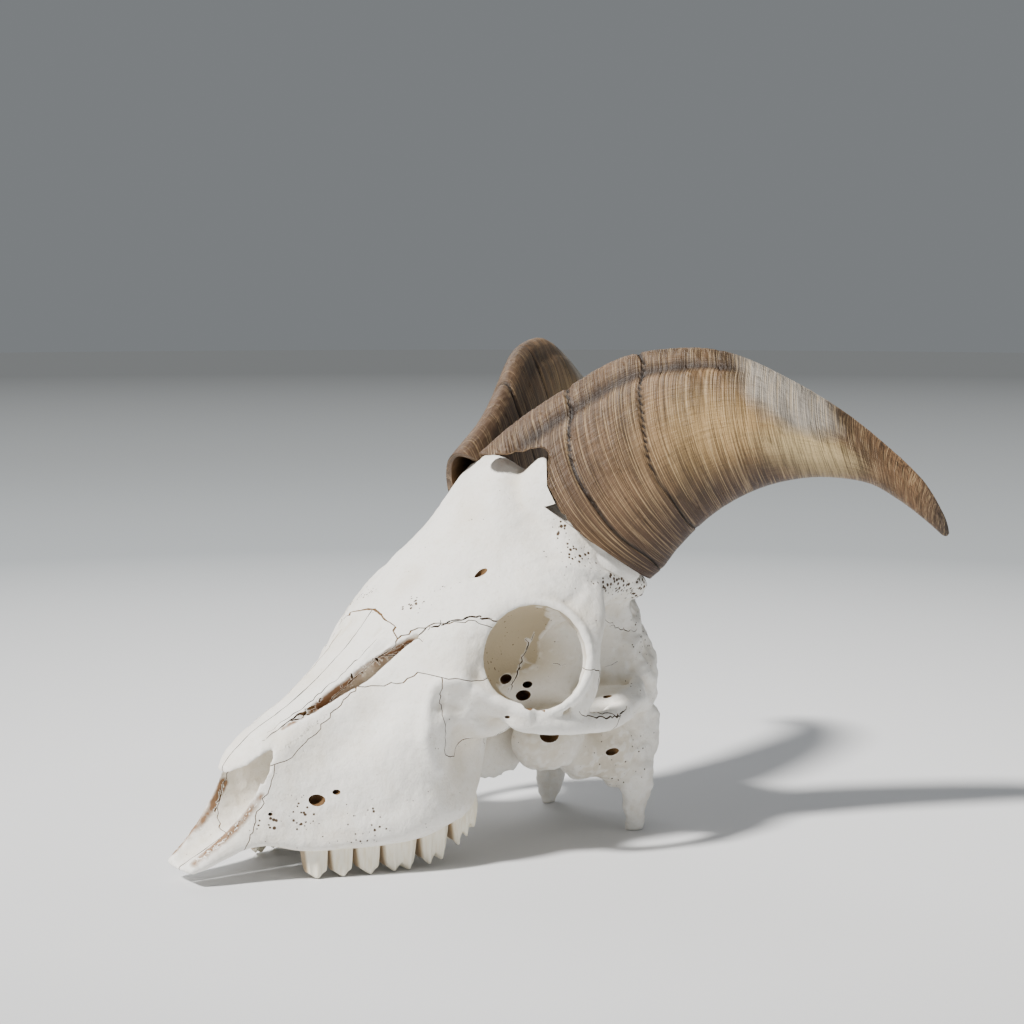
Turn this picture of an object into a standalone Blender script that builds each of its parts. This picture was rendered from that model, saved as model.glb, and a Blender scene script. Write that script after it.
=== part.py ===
"""A goat's skull with its two horn sheaths, lying on its cheek teeth and on the two bony points behind.

The nose points to -X, the skull's own left side to -Y, and the floor is z = 0.
Sizes are in millimetres from the photographed skull and are turned to metres as each shape is made.
"""

import math

import bmesh
import bpy
import numpy as np
from mathutils import Matrix, Vector

MM = 0.001

# How far the finished model is moved along X, so that the middle of its box is at x = 0.
SHIFT_X = 9.70

# The gap that neighbouring bones keep, and the fineness of the fused bone.
GAP = 0.3
VOXEL = 1.5
FACE_BUDGET = 6800

LEFT = -1
RIGHT = 1
SIDES = {"left": LEFT, "right": RIGHT}

# Landmarks of the skull, given for the right side (y positive) and mirrored for the left one.
ORBIT_CENTRE = (-26.0, 52.0, 79.8)
ORBIT_AXIS = (-0.448, 0.870, 0.198)
ORBIT_RADIUS = 19.3
ORBIT_DEPTH = 35.0
RIM_THICKNESS = 2.2

# Cheek teeth from front to back: where each starts along X, its lobes, thickness and lower end before and behind.
TEETH = (
    ("premolar_2", -110.6, 1, 7.0, 0.0, 0.0),
    ("premolar_3", -101.0, 1, 8.6, 0.0, 0.0),
    ("premolar_4", -91.6, 1, 9.8, 0.0, 0.0),
    ("molar_1", -81.4, 2, 12.0, 0.0, 0.0),
    ("molar_2", -66.4, 2, 12.6, 0.6, 3.0),
    ("molar_3", -53.2, 3, 11.4, 5.6, 14.6),
)
TOOTH_ROW_END = -39.6
TOOTH_TOP = 27.0
TOOTH_SPACE = 0.7
ROW_OUTLINE = ((-112.0, 22.6), (-100.0, 26.4), (-85.0, 31.4), (-66.0, 35.4), (-50.0, 37.0), (-38.0, 36.4))

# Where the bones meet, as side views (x, z) and top views (x, y) of the space that each one fills.
NASAL_SIDE = (
    (-140.0, 30.0), (-121.0, 43.0), (-112.0, 46.0), (-103.0, 53.0), (-88.0, 66.5), (-76.0, 77.5),
    (-69.0, 84.0), (-62.0, 112.0), (-140.0, 112.0),
)
PREMAXILLA_SIDE = (
    (-160.0, -4.0), (-134.5, -4.0), (-133.0, 10.0), (-127.5, 25.0), (-119.5, 40.0), (-117.0, 60.0),
    (-160.0, 60.0),
)
LACRIMAL_SIDE = (
    (-84.0, 70.0), (-73.0, 71.5), (-67.0, 76.0), (-58.0, 74.5), (-47.0, 72.5), (-34.0, 74.0),
    (-34.0, 91.0), (-40.0, 91.5), (-46.0, 94.4), (-57.0, 93.0), (-66.6, 88.1), (-77.0, 79.6),
)
LACRIMAL_TOP = ((-90.0, 60.0), (-90.0, 8.0), (-66.0, 21.0), (-46.0, 33.0), (-32.0, 41.0), (-32.0, 60.0))
ZYGOMATIC_SIDE = (
    (-60.0, 45.0), (-46.0, 40.0), (-30.0, 44.0), (2.0, 44.0), (10.0, 54.6), (-4.0, 57.5),
    (-3.0, 74.0), (-16.0, 76.0), (-26.0, 60.0), (-34.0, 62.0), (-34.0, 73.6), (-47.0, 72.1),
    (-58.0, 74.1), (-62.5, 74.5),
)
ZYGOMATIC_TOP = (
    (-70.0, 80.0), (-70.0, 30.0), (-58.0, 37.0), (-44.0, 39.0), (-30.0, 46.5), (-10.0, 52.0),
    (14.0, 48.0), (14.0, 80.0),
)
MAXILLA_SIDE = (
    (-134.2, -4.0), (-24.0, -4.0), (-27.0, 25.0), (-33.0, 42.0), (-46.0, 62.0), (-47.0, 72.1),
    (-58.0, 74.1), (-67.0, 75.6), (-73.0, 71.1), (-84.4, 69.6), (-88.3, 66.1), (-103.3, 52.6), (-112.2, 45.6),
    (-116.8, 43.5), (-119.1, 39.8), (-127.1, 24.8), (-132.6, 9.8),
)
HALF_TOP = ((-170.0, 0.15), (20.0, 0.15), (20.0, 70.0), (-170.0, 70.0))

# Horn stations from the base rim to the tip: keel edge and rear edge of the sheath, and its thickness.
HORN = (
    # keel x, y, z          rear x, y, z          thickness
    ((-21.5, 6.6, 153.4), (35.2, 45.0, 104.6), 34.0),
    ((-6.0, 10.3, 165.8), (39.0, 48.4, 109.2), 31.0),
    ((8.4, 19.4, 177.2), (43.8, 52.4, 117.4), 29.6),
    ((27.2, 35.1, 191.2), (53.4, 58.6, 128.8), 29.0),
    ((46.2, 49.7, 195.3), (64.6, 65.7, 137.3), 28.4),
    ((61.4, 61.7, 193.3), (78.3, 72.2, 142.5), 26.4),
    ((78.4, 73.2, 184.5), (92.9, 80.5, 144.4), 23.2),
    ((97.8, 84.4, 171.6), (106.6, 91.2, 142.2), 19.6),
    ((112.9, 95.2, 157.2), (114.3, 100.1, 136.3), 14.6),
    ((124.6, 105.6, 142.1), (122.2, 107.2, 128.5), 9.0),
    ((131.2, 112.9, 125.6), (129.7, 113.5, 119.9), 3.4),
)
HORN_AXIS = (0.65, 0.47, 0.60)
KEEL_SHARPNESS = 0.30
OUTER_SHARE = 0.48
SHEATH_WALL = 3.6
SHEATH_HOLLOW = 0.22
CORE_GAP = 1.4
CORE_FRONT = 24.0

# The notch in the front of the left rim: distance along the rim from the keel, and height above the rim.
NOTCHED = LEFT
NOTCH = (
    (-4.0, -6.0), (-1.0, 0.0), (5.0, 4.2), (10.5, 8.7), (18.0, 17.0), (21.5, 17.6), (24.0, 14.0),
    (29.0, 7.3), (36.0, 3.6), (44.0, 1.2), (52.0, -1.0), (52.0, -6.0),
)


def clear_scene():
    for obj in list(bpy.data.objects):
        bpy.data.objects.remove(obj)


def collection_named(name):
    collection = bpy.data.collections.new(name)
    bpy.context.scene.collection.children.link(collection)
    return collection


def material(name, colour, roughness, metallic=0.0):
    made = bpy.data.materials.new(name)
    made.use_nodes = True
    shader = made.node_tree.nodes["Principled BSDF"]
    shader.inputs["Base Color"].default_value = (*colour, 1.0)
    shader.inputs["Roughness"].default_value = roughness
    shader.inputs["Metallic"].default_value = metallic
    return made


def smooth_path(values, count):
    """count rows spread evenly along a Catmull-Rom curve through the given rows."""
    rows = np.array(values, float)
    padded = np.vstack([2 * rows[0] - rows[1], rows, 2 * rows[-1] - rows[-2]])
    spans = len(rows) - 1
    out = []
    for t in np.linspace(0, spans, count):
        k = min(int(t), spans - 1)
        u = t - k
        a, b, c, d = padded[k : k + 4]
        out.append(
            0.5 * (2 * b + (c - a) * u + (2 * a - 5 * b + 4 * c - d) * u**2 + (3 * b - a - 3 * c + d) * u**3)
        )
    return np.array(out)


def add_object(name, bm):
    bmesh.ops.recalc_face_normals(bm, faces=bm.faces)
    mesh = bpy.data.meshes.new(name)
    bm.to_mesh(mesh)
    bm.free()
    obj = bpy.data.objects.new(name, mesh)
    bpy.context.scene.collection.objects.link(obj)
    return obj


def skin_rings(name, rings):
    """A closed mesh through rings of equally many points, its two ends closed by fans."""
    bm = bmesh.new()
    loops = [[bm.verts.new(Vector(p) * MM) for p in ring] for ring in rings]
    sides = len(loops[0])
    for first, second in zip(loops, loops[1:]):
        for i in range(sides):
            j = (i + 1) % sides
            bm.faces.new((first[i], first[j], second[j], second[i]))
    for loop, ring in ((loops[0], rings[0]), (loops[-1], rings[-1])):
        middle = bm.verts.new(Vector(np.mean(ring, axis=0)) * MM)
        for i in range(sides):
            bm.faces.new((loop[i], loop[(i + 1) % sides], middle))
    return add_object(name, bm)


def power(value, exponent):
    return math.copysign(abs(value) ** exponent, value)


def closed_curve(points, per_span):
    """Points along a closed Catmull-Rom curve."""
    rows = np.array(points, float)
    count = len(rows)
    out = []
    for k in range(count):
        a, b, c, d = (rows[(k + step) % count] for step in (-1, 0, 1, 2))
        for u in np.arange(per_span) / per_span:
            out.append(
                0.5 * (2 * b + (c - a) * u + (2 * a - 5 * b + 4 * c - d) * u**2 + (3 * b - a - 3 * c + d) * u**3)
            )
    return np.array(out)


def profile_loft(name, stations, rings=48, per_span=3):
    """A loft along X through half sections: each is x, then y and z from the top's middle round to the floor's."""
    rows = np.array([[x] + [value for point in half for value in point] for x, half in stations], float)
    made = []
    for row in smooth_path(rows, rings):
        half = row[1:].reshape(-1, 2)
        half[0, 0] = half[-1, 0] = 0.0
        other = half[-2:0:-1] * (-1.0, 1.0)
        curve = closed_curve(np.vstack([half, other]), per_span)
        made.append([(row[0], y, z) for y, z in curve])
    return skin_rings(name, made)


def section_loft(name, stations, square=2.6, sides=28, rings=40):
    """A loft along X. Each station is x, top, bottom, half width at the top and at the bottom."""
    made = []
    for x, top, bottom, half_top, half_bottom in smooth_path(stations, rings):
        ring = []
        for i in range(sides):
            angle = 2 * math.pi * i / sides
            rise = 0.5 + 0.5 * power(math.sin(angle), 2 / square)
            half = half_bottom + (half_top - half_bottom) * rise
            ring.append((x, half * power(math.cos(angle), 2 / square), bottom + (top - bottom) * rise))
        made.append(ring)
    return skin_rings(name, made)


def horn_shape(name, side, start, end, inset, sides=32, rings=30, close=0.0, front=0.0):
    """The sheath's outline between two shares of its length, moved in by inset, and by front at the keel."""
    rows = smooth_path([[*keel, *rear, thick] for keel, rear, thick in HORN], 201)
    made = []
    for share in np.linspace(start, end, rings):
        place = min(200, int(round(share * 200)))
        row = rows[place] if place >= 0 else rows[0] + (rows[1] - rows[0]) * place
        keel, rear, thick = row[:3], row[3:6], row[6]
        chord = np.linalg.norm(rear - keel)
        across = (rear - keel) / chord
        flat = np.cross(np.array(HORN_AXIS), across)
        flat /= np.linalg.norm(flat)
        narrow = 1.0 - close * ((share - start) / (end - start)) ** 2.5
        half = max(0.3, ((chord - front) / 2 - inset) * narrow)
        middle = (keel + rear + across * front) / 2
        ring = []
        for i in range(sides):
            angle = 2 * math.pi * i / sides
            bulge = math.sin(angle) * (1.0 - KEEL_SHARPNESS * math.cos(angle))
            part = OUTER_SHARE if bulge > 0 else 1.0 - OUTER_SHARE
            depth = max(0.3, (thick * part - inset) * narrow)
            point = middle - across * half * math.cos(angle) + flat * depth * bulge
            ring.append(mirrored(point, side))
        made.append(ring)
    return skin_rings(name, made)


def strap(name, stations, wide, square=2.2, sides=14, rings=24, round_ends=True):
    """A bent bar through stations of x, y, z, half width and half thickness; wide is the width's direction."""
    rows = smooth_path(stations, rings)
    centres = rows[:, :3]
    along = np.gradient(centres, axis=0)
    along /= np.linalg.norm(along, axis=1)[:, None]
    made = []
    last = len(rows) - 1
    for k, (centre, forward) in enumerate(zip(centres, along)):
        across = np.array(wide, float)
        across -= forward * (across @ forward)
        across /= np.linalg.norm(across)
        flat = np.cross(forward, across)
        shrink = 0.55 if round_ends and k in (0, last) else 1.0
        ring = []
        for i in range(sides):
            angle = 2 * math.pi * i / sides
            ring.append(
                centre
                + across * rows[k, 3] * shrink * power(math.cos(angle), 2 / square)
                + flat * rows[k, 4] * shrink * power(math.sin(angle), 2 / square)
            )
        made.append(ring)
    return skin_rings(name, made)


def mirrored(point, side):
    return (point[0], point[1] * side, point[2])


def ball(name, centre, radii, axis=None, segments=24):
    """An ellipsoid with its radii along X, Y and Z, or its third radius along axis."""
    bpy.ops.mesh.primitive_uv_sphere_add(segments=segments, ring_count=segments // 2, radius=1.0)
    obj = bpy.context.object
    obj.name = name
    turn = Vector(axis).to_track_quat("Z", "Y").to_matrix().to_4x4() if axis else Matrix()
    place = Matrix.Translation(Vector(centre) * MM) @ turn @ Matrix.Diagonal((*(Vector(radii) * MM), 1.0))
    obj.data.transform(place)
    return obj


def ring_tube(name, centre, axis, radius, thickness, sides=36):
    """A round bar bent to a ring about axis."""
    bpy.ops.mesh.primitive_torus_add(
        major_segments=sides, minor_segments=10, major_radius=radius * MM, minor_radius=thickness * MM
    )
    obj = bpy.context.object
    obj.name = name
    turn = Vector(axis).to_track_quat("Z", "Y").to_matrix().to_4x4()
    obj.data.transform(Matrix.Translation(Vector(centre) * MM) @ turn)
    return obj


def applied(obj):
    """The object's evaluated mesh takes the place of its mesh and modifiers."""
    bpy.context.view_layer.update()
    graph = bpy.context.evaluated_depsgraph_get()
    mesh = bpy.data.meshes.new_from_object(obj.evaluated_get(graph))
    obj.modifiers.clear()
    obj.data = mesh
    return obj


def fuse(name, pieces, voxel=VOXEL, smoothing=4):
    """Overlapping pieces made one skin by a voxel remesh, then smoothed."""
    bm = bmesh.new()
    for piece in pieces:
        bm.from_mesh(piece.data)
        bpy.data.objects.remove(piece)
    obj = add_object(name, bm)
    remesh = obj.modifiers.new("fuse", "REMESH")
    remesh.mode = "VOXEL"
    remesh.voxel_size = voxel * MM
    soften = obj.modifiers.new("soften", "SMOOTH")
    soften.factor = 0.5
    soften.iterations = smoothing
    return applied(obj)


def is_closed(mesh):
    bm = bmesh.new()
    bm.from_mesh(mesh)
    closed = bool(bm.faces) and all(edge.is_manifold and edge.is_contiguous for edge in bm.edges)
    bm.free()
    return closed


def combine(obj, others, operation):
    """Booleans of obj with each of the others, which are then removed."""
    for other in others:
        before = obj.data.copy()
        for solver in ("EXACT", "MANIFOLD"):
            obj.data = before.copy()
            step = obj.modifiers.new(operation.lower(), "BOOLEAN")
            step.operation = operation
            step.solver = solver
            step.object = other
            applied(obj)
            if is_closed(obj.data):
                break
        bpy.data.objects.remove(other)
    return obj


def keep_largest(obj):
    """Loose scraps of a cut are dropped, and the largest closed surface stays."""
    bm = bmesh.new()
    bm.from_mesh(obj.data)
    bm.verts.index_update()
    unseen = set(bm.verts)
    groups = []
    while unseen:
        start = unseen.pop()
        group, waiting = {start}, [start]
        while waiting:
            for link in waiting.pop().link_edges:
                for vertex in link.verts:
                    if vertex in unseen:
                        unseen.remove(vertex)
                        group.add(vertex)
                        waiting.append(vertex)
        groups.append(group)
    groups.sort(key=len)
    for group in groups[:-1]:
        bmesh.ops.delete(bm, geom=list(group), context="VERTS")
    bm.to_mesh(obj.data)
    bm.free()
    return obj


def both_sides(make):
    return [piece for side in SIDES.values() for piece in make(side)]


FACE_SECTIONS = (
    (-151.5, ((0, 8.0), (4, 8.0), (8.0, 7.6), (9.6, 6.8), (10.0, 6.0), (9.4, 5.0), (7.0, 4.3), (0, 4.3))),
    (-146.0, ((0, 12.0), (5, 12.0), (9.6, 11.6), (11.4, 10.0),
             (12.0, 8.2), (11.6, 6.8), (9.0, 5.6), (0, 5.6))),
    (-138.0, ((0, 19.0), (6, 19.0), (11.4, 18.2), (13.2, 15.6),
             (14.4, 12.6), (14.2, 10.6), (12.0, 9.4), (0, 9.4))),
    (-130.0, ((0, 31.0), (6, 31.0), (12.8, 29.0), (14.8, 24.0),
             (16.6, 18.6), (17.2, 15.0), (15.0, 13.0), (0, 13.0))),
    (-122.0, ((0, 46.0), (7, 46.0), (14.0, 43.0), (16.4, 35.0),
             (18.8, 26.0), (20.2, 18.4), (18.4, 13.6), (0, 13.6))),
    (-112.0, ((0, 57.0), (8, 56.6), (14.6, 52.4), (17.6, 43.6),
             (20.8, 32.0), (23.6, 20.0), (23.2, 11.4), (0, 11.4))),
    (-100.0, ((0, 64.5), (8, 64.0), (14.8, 59.6), (19.4, 50.0),
             (24.8, 37.6), (28.4, 22.4), (27.8, 11.0), (0, 11.0))),
    (-86.0, ((0, 75.0), (9, 74.4), (16.4, 70.0), (22.6, 61.0),
             (30.6, 46.0), (34.2, 26.0), (33.0, 11.4), (0, 11.4))),
    (-75.0, ((0, 85.0), (11, 84.0), (20.0, 78.4), (28.0, 69.0),
             (37.4, 54.0), (38.6, 32.0), (36.4, 12.2), (0, 12.2))),
    (-65.0, ((0, 96.5), (13, 95.4), (25.0, 88.4), (34.0, 79.0),
             (43.6, 64.0), (42.0, 38.0), (37.6, 13.6), (0, 13.6))),
    (-55.0, ((0, 106.6), (15, 103.8), (28.6, 96.4), (38.6, 87.6),
             (46.0, 68.0), (40.0, 38.0), (37.6, 16.4), (0, 16.4))),
    (-45.0, ((0, 116.0), (17, 112.2), (32.4, 103.6), (42.4, 93.4),
             (44.0, 72.0), (36.0, 42.0), (35.6, 20.0), (0, 20.0))),
    (-35.0, ((0, 124.6), (17, 120.0), (34.0, 109.2), (46.0, 98.6),
             (43.0, 78.0), (32.0, 52.0), (27.0, 30.0), (0, 30.0))),
    (-26.0, ((0, 134.0), (16, 129.0), (33.4, 115.0), (49.4, 101.6),
             (41.0, 84.0), (26.0, 60.0), (18.0, 42.0), (0, 40.0))),
    (-17.0, ((0, 146.6), (13, 142.8), (30.6, 122.6), (52.0, 102.6),
             (39.0, 90.0), (22.0, 64.0), (14.0, 46.0), (0, 42.0))),
    (-9.0, ((0, 152.6), (12, 148.6), (29.0, 128.0), (53.4, 102.0),
             (40.0, 92.0), (20.0, 70.0), (12.0, 50.0), (0, 46.0))),
    (-1.0, ((0, 147.0), (15, 146.0), (33.0, 132.0), (51.4, 103.0),
             (43.0, 93.0), (22.0, 84.0), (10.0, 78.0), (0, 76.0))),
    (9.0, ((0, 134.0), (18, 145.0), (34.0, 130.0), (48.6, 106.0),
             (45.0, 96.0), (28.0, 88.0), (12.0, 80.0), (0, 80.0))),
    (23.0, ((0, 122.0), (14, 124.0), (32.0, 119.0), (43.6, 107.0),
             (42.6, 99.0), (28.0, 90.0), (12.0, 84.0), (0, 84.0))),
    (38.5, ((0, 108.0), (11, 108.0), (26.0, 107.0), (37.6, 104.4),
             (38.4, 100.0), (28.0, 93.0), (12.0, 89.0), (0, 89.0))),
)


def horn_base(side):
    """The swelling from which the horn core rises."""
    at = lambda point: mirrored(point, side)
    stations = [(*at((2.0, 24.0, 106.0)), 22.0, 12.0), (*at((9.0, 28.0, 120.0)), 28.0, 14.0),
                (*at((14.0, 31.0, 130.0)), 30.0, 14.0), (*at((17.0, 33.0, 134.0)), 28.0, 12.0)]
    return [strap("horn_foot", stations, wide=at((0.667, 0.44, -0.595)), sides=24, square=2.0)]


def fissure(side):
    """The open crack between the nasal bone and its neighbours."""
    at = lambda point: mirrored(point, side)
    stations = [(*at((-92.0, 16.6, 63.4)), 9.0, 0.5), (*at((-84.0, 18.6, 71.0)), 9.0, 1.5),
                (*at((-76.0, 21.4, 78.6)), 9.0, 2.4), (*at((-69.0, 24.6, 84.4)), 9.0, 1.6),
                (*at((-60.0, 28.6, 89.6)), 9.0, 0.5)]
    return [strap("fissure", stations, wide=at((-0.3, 0.75, 0.6)), sides=10, rings=16)]


def cranial_mass(side):
    """The rounded masses of one side behind the face."""
    at = lambda point: mirrored(point, side)
    return horn_base(side) + [
        ball("ear_root", at((35.0, 29.0, 60.0)), (16.0, 9.0, 15.0)),
        ball("base_front", at((0.0, 25.0, 41.0)), (17.0, 10.0, 13.0)),
        ball("ear_bulla", at((20.0, 23.0, 32.0)), (12.0, 8.5, 11.0)),
        ball("ear_base", at((32.0, 26.0, 34.0)), (11.0, 9.0, 17.0)),
        ball("jaw_seat", at((18.0, 40.0, 57.5)), (15.0, 15.0, 5.5)),
        ball("cheek_seat", at((-42.0, 38.0, 62.0)), (20.0, 12.0, 14.0)),
        ball("nape_side", at((43.0, 19.0, 60.0)), (13.0, 12.0, 16.0)),
    ]


BRAIN_SECTIONS = (
    (-22.0, ((0, 88.0), (9, 87.0), (16.0, 83.0), (20.0, 76.0),
             (20.0, 66.0), (15.0, 57.0), (8.0, 50.0), (0, 48.0))),
    (-8.0, ((0, 116.0), (12, 113.0), (21.0, 104.0), (25.0, 91.0),
             (25.5, 76.0), (21.0, 60.0), (12.0, 48.0), (0, 44.0))),
    (8.0, ((0, 124.0), (14, 119.0), (26.0, 107.0), (30.5, 93.0),
             (31.5, 78.0), (27.0, 61.0), (14.0, 46.0), (0, 42.0))),
    (24.0, ((0, 117.0), (15, 113.0), (27.0, 103.0), (32.0, 90.0),
             (33.4, 76.0), (30.0, 59.0), (15.0, 44.0), (0, 40.0))),
    (37.0, ((0, 107.0), (14, 104.0), (25.0, 97.0), (31.0, 86.0),
             (33.6, 73.0), (31.0, 57.0), (16.0, 42.0), (0, 38.0))),
    (46.0, ((0, 96.0), (12, 94.0), (21.0, 88.0), (27.6, 79.0),
             (31.4, 70.0), (29.0, 55.0), (17.0, 41.0), (0, 37.0))),
    (53.0, ((0, 87.0), (10, 85.4), (17.6, 81.0), (23.4, 74.6),
             (27.2, 67.0), (24.0, 55.0), (15.0, 43.0), (0, 40.0))),
    (58.0, ((0, 78.0), (7, 77.0), (12.4, 74.0), (16.4, 70.0),
             (17.6, 63.6), (15.0, 57.0), (9.0, 51.0), (0, 50.0))),
)


def braincase():
    crest = [(34.0, -34.0, 70.0, 4.0, 3.0), (40.0, -28.6, 82.0, 4.2, 3.0), (45.0, -15.0, 91.0, 4.4, 3.2),
             (47.0, 0.0, 94.0, 5.2, 4.0), (45.0, 15.0, 91.0, 4.4, 3.2), (40.0, 28.6, 82.0, 4.2, 3.0),
             (34.0, 34.0, 70.0, 4.0, 3.0)]
    return [
        profile_loft("brain", BRAIN_SECTIONS),
        strap("nuchal_crest", crest, wide=(1.0, 0.0, 0.4), rings=32),
        strap("skull_floor", [(-40.0, 0.0, 50.0, 12.0, 12.0), (5.0, 0.0, 44.0, 14.0, 10.0),
                              (50.0, 0.0, 38.0, 13.0, 8.0)], wide=(0.0, 1.0, 0.0)),
    ]


def thin_bones(side):
    """The bars, plates and points of one side, which are fused after the big masses are smoothed."""
    at = lambda point: mirrored(point, side)
    arch = [
        (*at((-62.0, 40.0, 64.0)), 6.0, 3.0),
        (*at((-47.0, 46.0, 62.0)), 6.0, 3.2),
        (*at((-30.0, 54.5, 56.0)), 4.6, 3.4),
        (*at((-12.0, 59.0, 54.0)), 4.2, 3.0),
        (*at((6.0, 57.5, 53.5)), 4.4, 2.8),
        (*at((24.0, 49.0, 56.5)), 4.6, 3.0),
        (*at((37.0, 36.0, 61.0)), 5.0, 4.0),
    ]
    bar = [
        (*at((-12.0, 59.0, 56.0)), 4.4, 2.6),
        (*at((-6.5, 60.3, 68.0)), 4.4, 2.6),
        (*at((-5.5, 58.8, 82.0)), 5.4, 2.8),
        (*at((-4.0, 54.0, 94.0)), 9.5, 4.0),
        (*at((-3.0, 45.0, 105.0)), 13.0, 5.0),
    ]
    ear_point = [
        (*at((45.0, 29.0, 52.0)), 8.5, 5.0),
        (*at((41.5, 30.5, 36.0)), 9.2, 4.0),
        (*at((40.4, 30.5, 21.0)), 8.2, 3.2),
        (*at((40.4, 29.6, 10.0)), 6.6, 3.0),
        (*at((40.0, 29.2, 4.0)), 4.8, 2.8),
        (*at((39.6, 29.0, -2.2)), 3.2, 2.4),
    ]
    return [
        strap("arch", arch, wide=(0.0, 0.0, 1.0)),
        strap("bar", bar, wide=(1.0, 0.0, 0.1)),
        ring_tube("orbit_rim", at(ORBIT_CENTRE), at(ORBIT_AXIS), ORBIT_RADIUS + 2.0, RIM_THICKNESS),
        strap("ear_point", ear_point, wide=(1.0, 0.0, 0.0)),
        ball("condyle", at((50.5, 13.5, 35.0)), (7.5, 9.0, 11.5)),
        ball("wing", at((-18.0, 12.5, 40.0)), (20.0, 2.6, 15.0)),
    ]


def nasal_roof():
    """The thin front end of the nasal bones, which overhangs the opening of the nose."""
    arcs = []
    for x, top in ((-131.5, 41.0), (-128.0, 46.4), (-122.0, 52.0), (-114.0, 56.6), (-104.0, 61.6)):
        half = ((0, top), (6, top - 0.6), (10.8, top - 3.6), (12.6, top - 7.0), (10.4, top - 7.4),
                (5.4, top - 4.0), (0, top - 3.2))
        arcs.append((x, half))
    return profile_loft("nasal_roof", arcs, rings=20)


def nasal_cavity_cutter():
    """The hollow of the nose, open to the front and above, under the nasal bones behind."""
    stations = (
        (-165.0, 44.0, 9.0, 6.6, 6.0),
        (-151.0, 44.0, 9.6, 6.8, 6.4),
        (-138.0, 56.0, 14.4, 10.4, 10.4),
        (-130.0, 66.0, 18.0, 13.0, 13.2),
        (-122.0, 66.0, 19.0, 13.6, 15.2),
        (-115.0, 54.0, 20.5, 12.4, 15.6),
        (-102.0, 55.0, 24.0, 10.5, 14.5),
        (-88.0, 50.0, 32.0, 7.0, 8.0),
    )
    return section_loft("nasal_cavity", stations, square=2.8, sides=24, rings=28)


def sockets(side):
    at = lambda point: mirrored(point, side)
    radii = (ORBIT_RADIUS + 0.6, ORBIT_RADIUS + 1.0, ORBIT_DEPTH)
    return [ball("orbit", at(ORBIT_CENTRE), radii, at(ORBIT_AXIS))]


def palate_cutter():
    stations = (
        (-146.0, 8.0, -6.0, 3.0, 6.0),
        (-128.0, 16.0, -6.0, 8.0, 12.0),
        (-110.0, 17.5, -6.0, 11.0, 13.5),
        (-85.0, 20.0, -6.0, 13.0, 17.0),
        (-62.0, 24.0, -6.0, 14.0, 20.0),
        (-42.0, 31.0, -6.0, 13.0, 22.0),
        (-26.0, 34.0, -6.0, 11.0, 30.0),
    )
    return section_loft("palate", stations, square=3.0, sides=20, rings=20)


def skull_bone():
    """The whole skull as one skin, before it is parted along its sutures."""
    masses = [profile_loft("face", FACE_SECTIONS)] + braincase() + both_sides(cranial_mass)
    bone = fuse("bone", masses, smoothing=7)
    cutters = both_sides(sockets) + both_sides(fissure) + [nasal_cavity_cutter(), palate_cutter()]
    cutters.append(ball("foramen_magnum", (62.0, 0.0, 47.0), (20.0, 8.6, 8.6)))
    combine(bone, cutters, "DIFFERENCE")
    bone = fuse("bone", [bone, nasal_roof()] + both_sides(thin_bones), smoothing=2)
    combine(bone, both_sides(sockets), "DIFFERENCE")
    return keep_largest(bone)


def reduce_faces(obj, budget):
    obj.data.calc_loop_triangles()
    share = budget / max(1, len(obj.data.loop_triangles))
    if share < 1.0:
        step = obj.modifiers.new("thin_out", "DECIMATE")
        step.ratio = share
        applied(obj)
    return obj


def grown(outline, amount):
    """A polygon with each side moved outward."""
    rows = np.array(outline, float)
    area = sum(p[0] * q[1] - q[0] * p[1] for p, q in zip(rows, np.roll(rows, -1, axis=0)))
    sign = 1.0 if area > 0 else -1.0
    out = []
    count = len(rows)
    for i in range(count):
        before = rows[i] - rows[i - 1]
        after = rows[(i + 1) % count] - rows[i]
        n0 = sign * np.array([before[1], -before[0]]) / np.linalg.norm(before)
        n1 = sign * np.array([after[1], -after[0]]) / np.linalg.norm(after)
        out.append(rows[i] + amount * (n0 + n1) / max(0.35, 1.0 + n0 @ n1))
    return out


def prism(name, outline, place, low, high):
    """A polygon drawn out between two levels; place turns its two numbers and the level to a point."""
    return skin_prism(name, [[place(u, v, level) for u, v in outline] for level in (low, high)])


def skin_prism(name, rings):
    bm = bmesh.new()
    loops = [[bm.verts.new(Vector(p) * MM) for p in ring] for ring in rings]
    sides = len(loops[0])
    for i in range(sides):
        j = (i + 1) % sides
        bm.faces.new((loops[0][i], loops[0][j], loops[1][j], loops[1][i]))
    for loop in loops:
        bm.faces.new(loop)
    bmesh.ops.triangulate(bm, faces=bm.faces)
    return add_object(name, bm)


def bone_space(side_view, top_view, side, spare):
    """The space that one bone fills, grown by spare all round."""
    flank = prism("flank", grown(side_view, spare), lambda u, v, w: (u, w, v), -90.0, 90.0)
    plan = prism("plan", grown(top_view, spare), lambda u, v, w: (u, side * v, w), -20.0, 150.0)
    return combine(flank, [plan], "INTERSECT")


def copy_of(obj, name):
    made = bpy.data.objects.new(name, obj.data.copy())
    bpy.context.scene.collection.objects.link(made)
    return made


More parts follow.
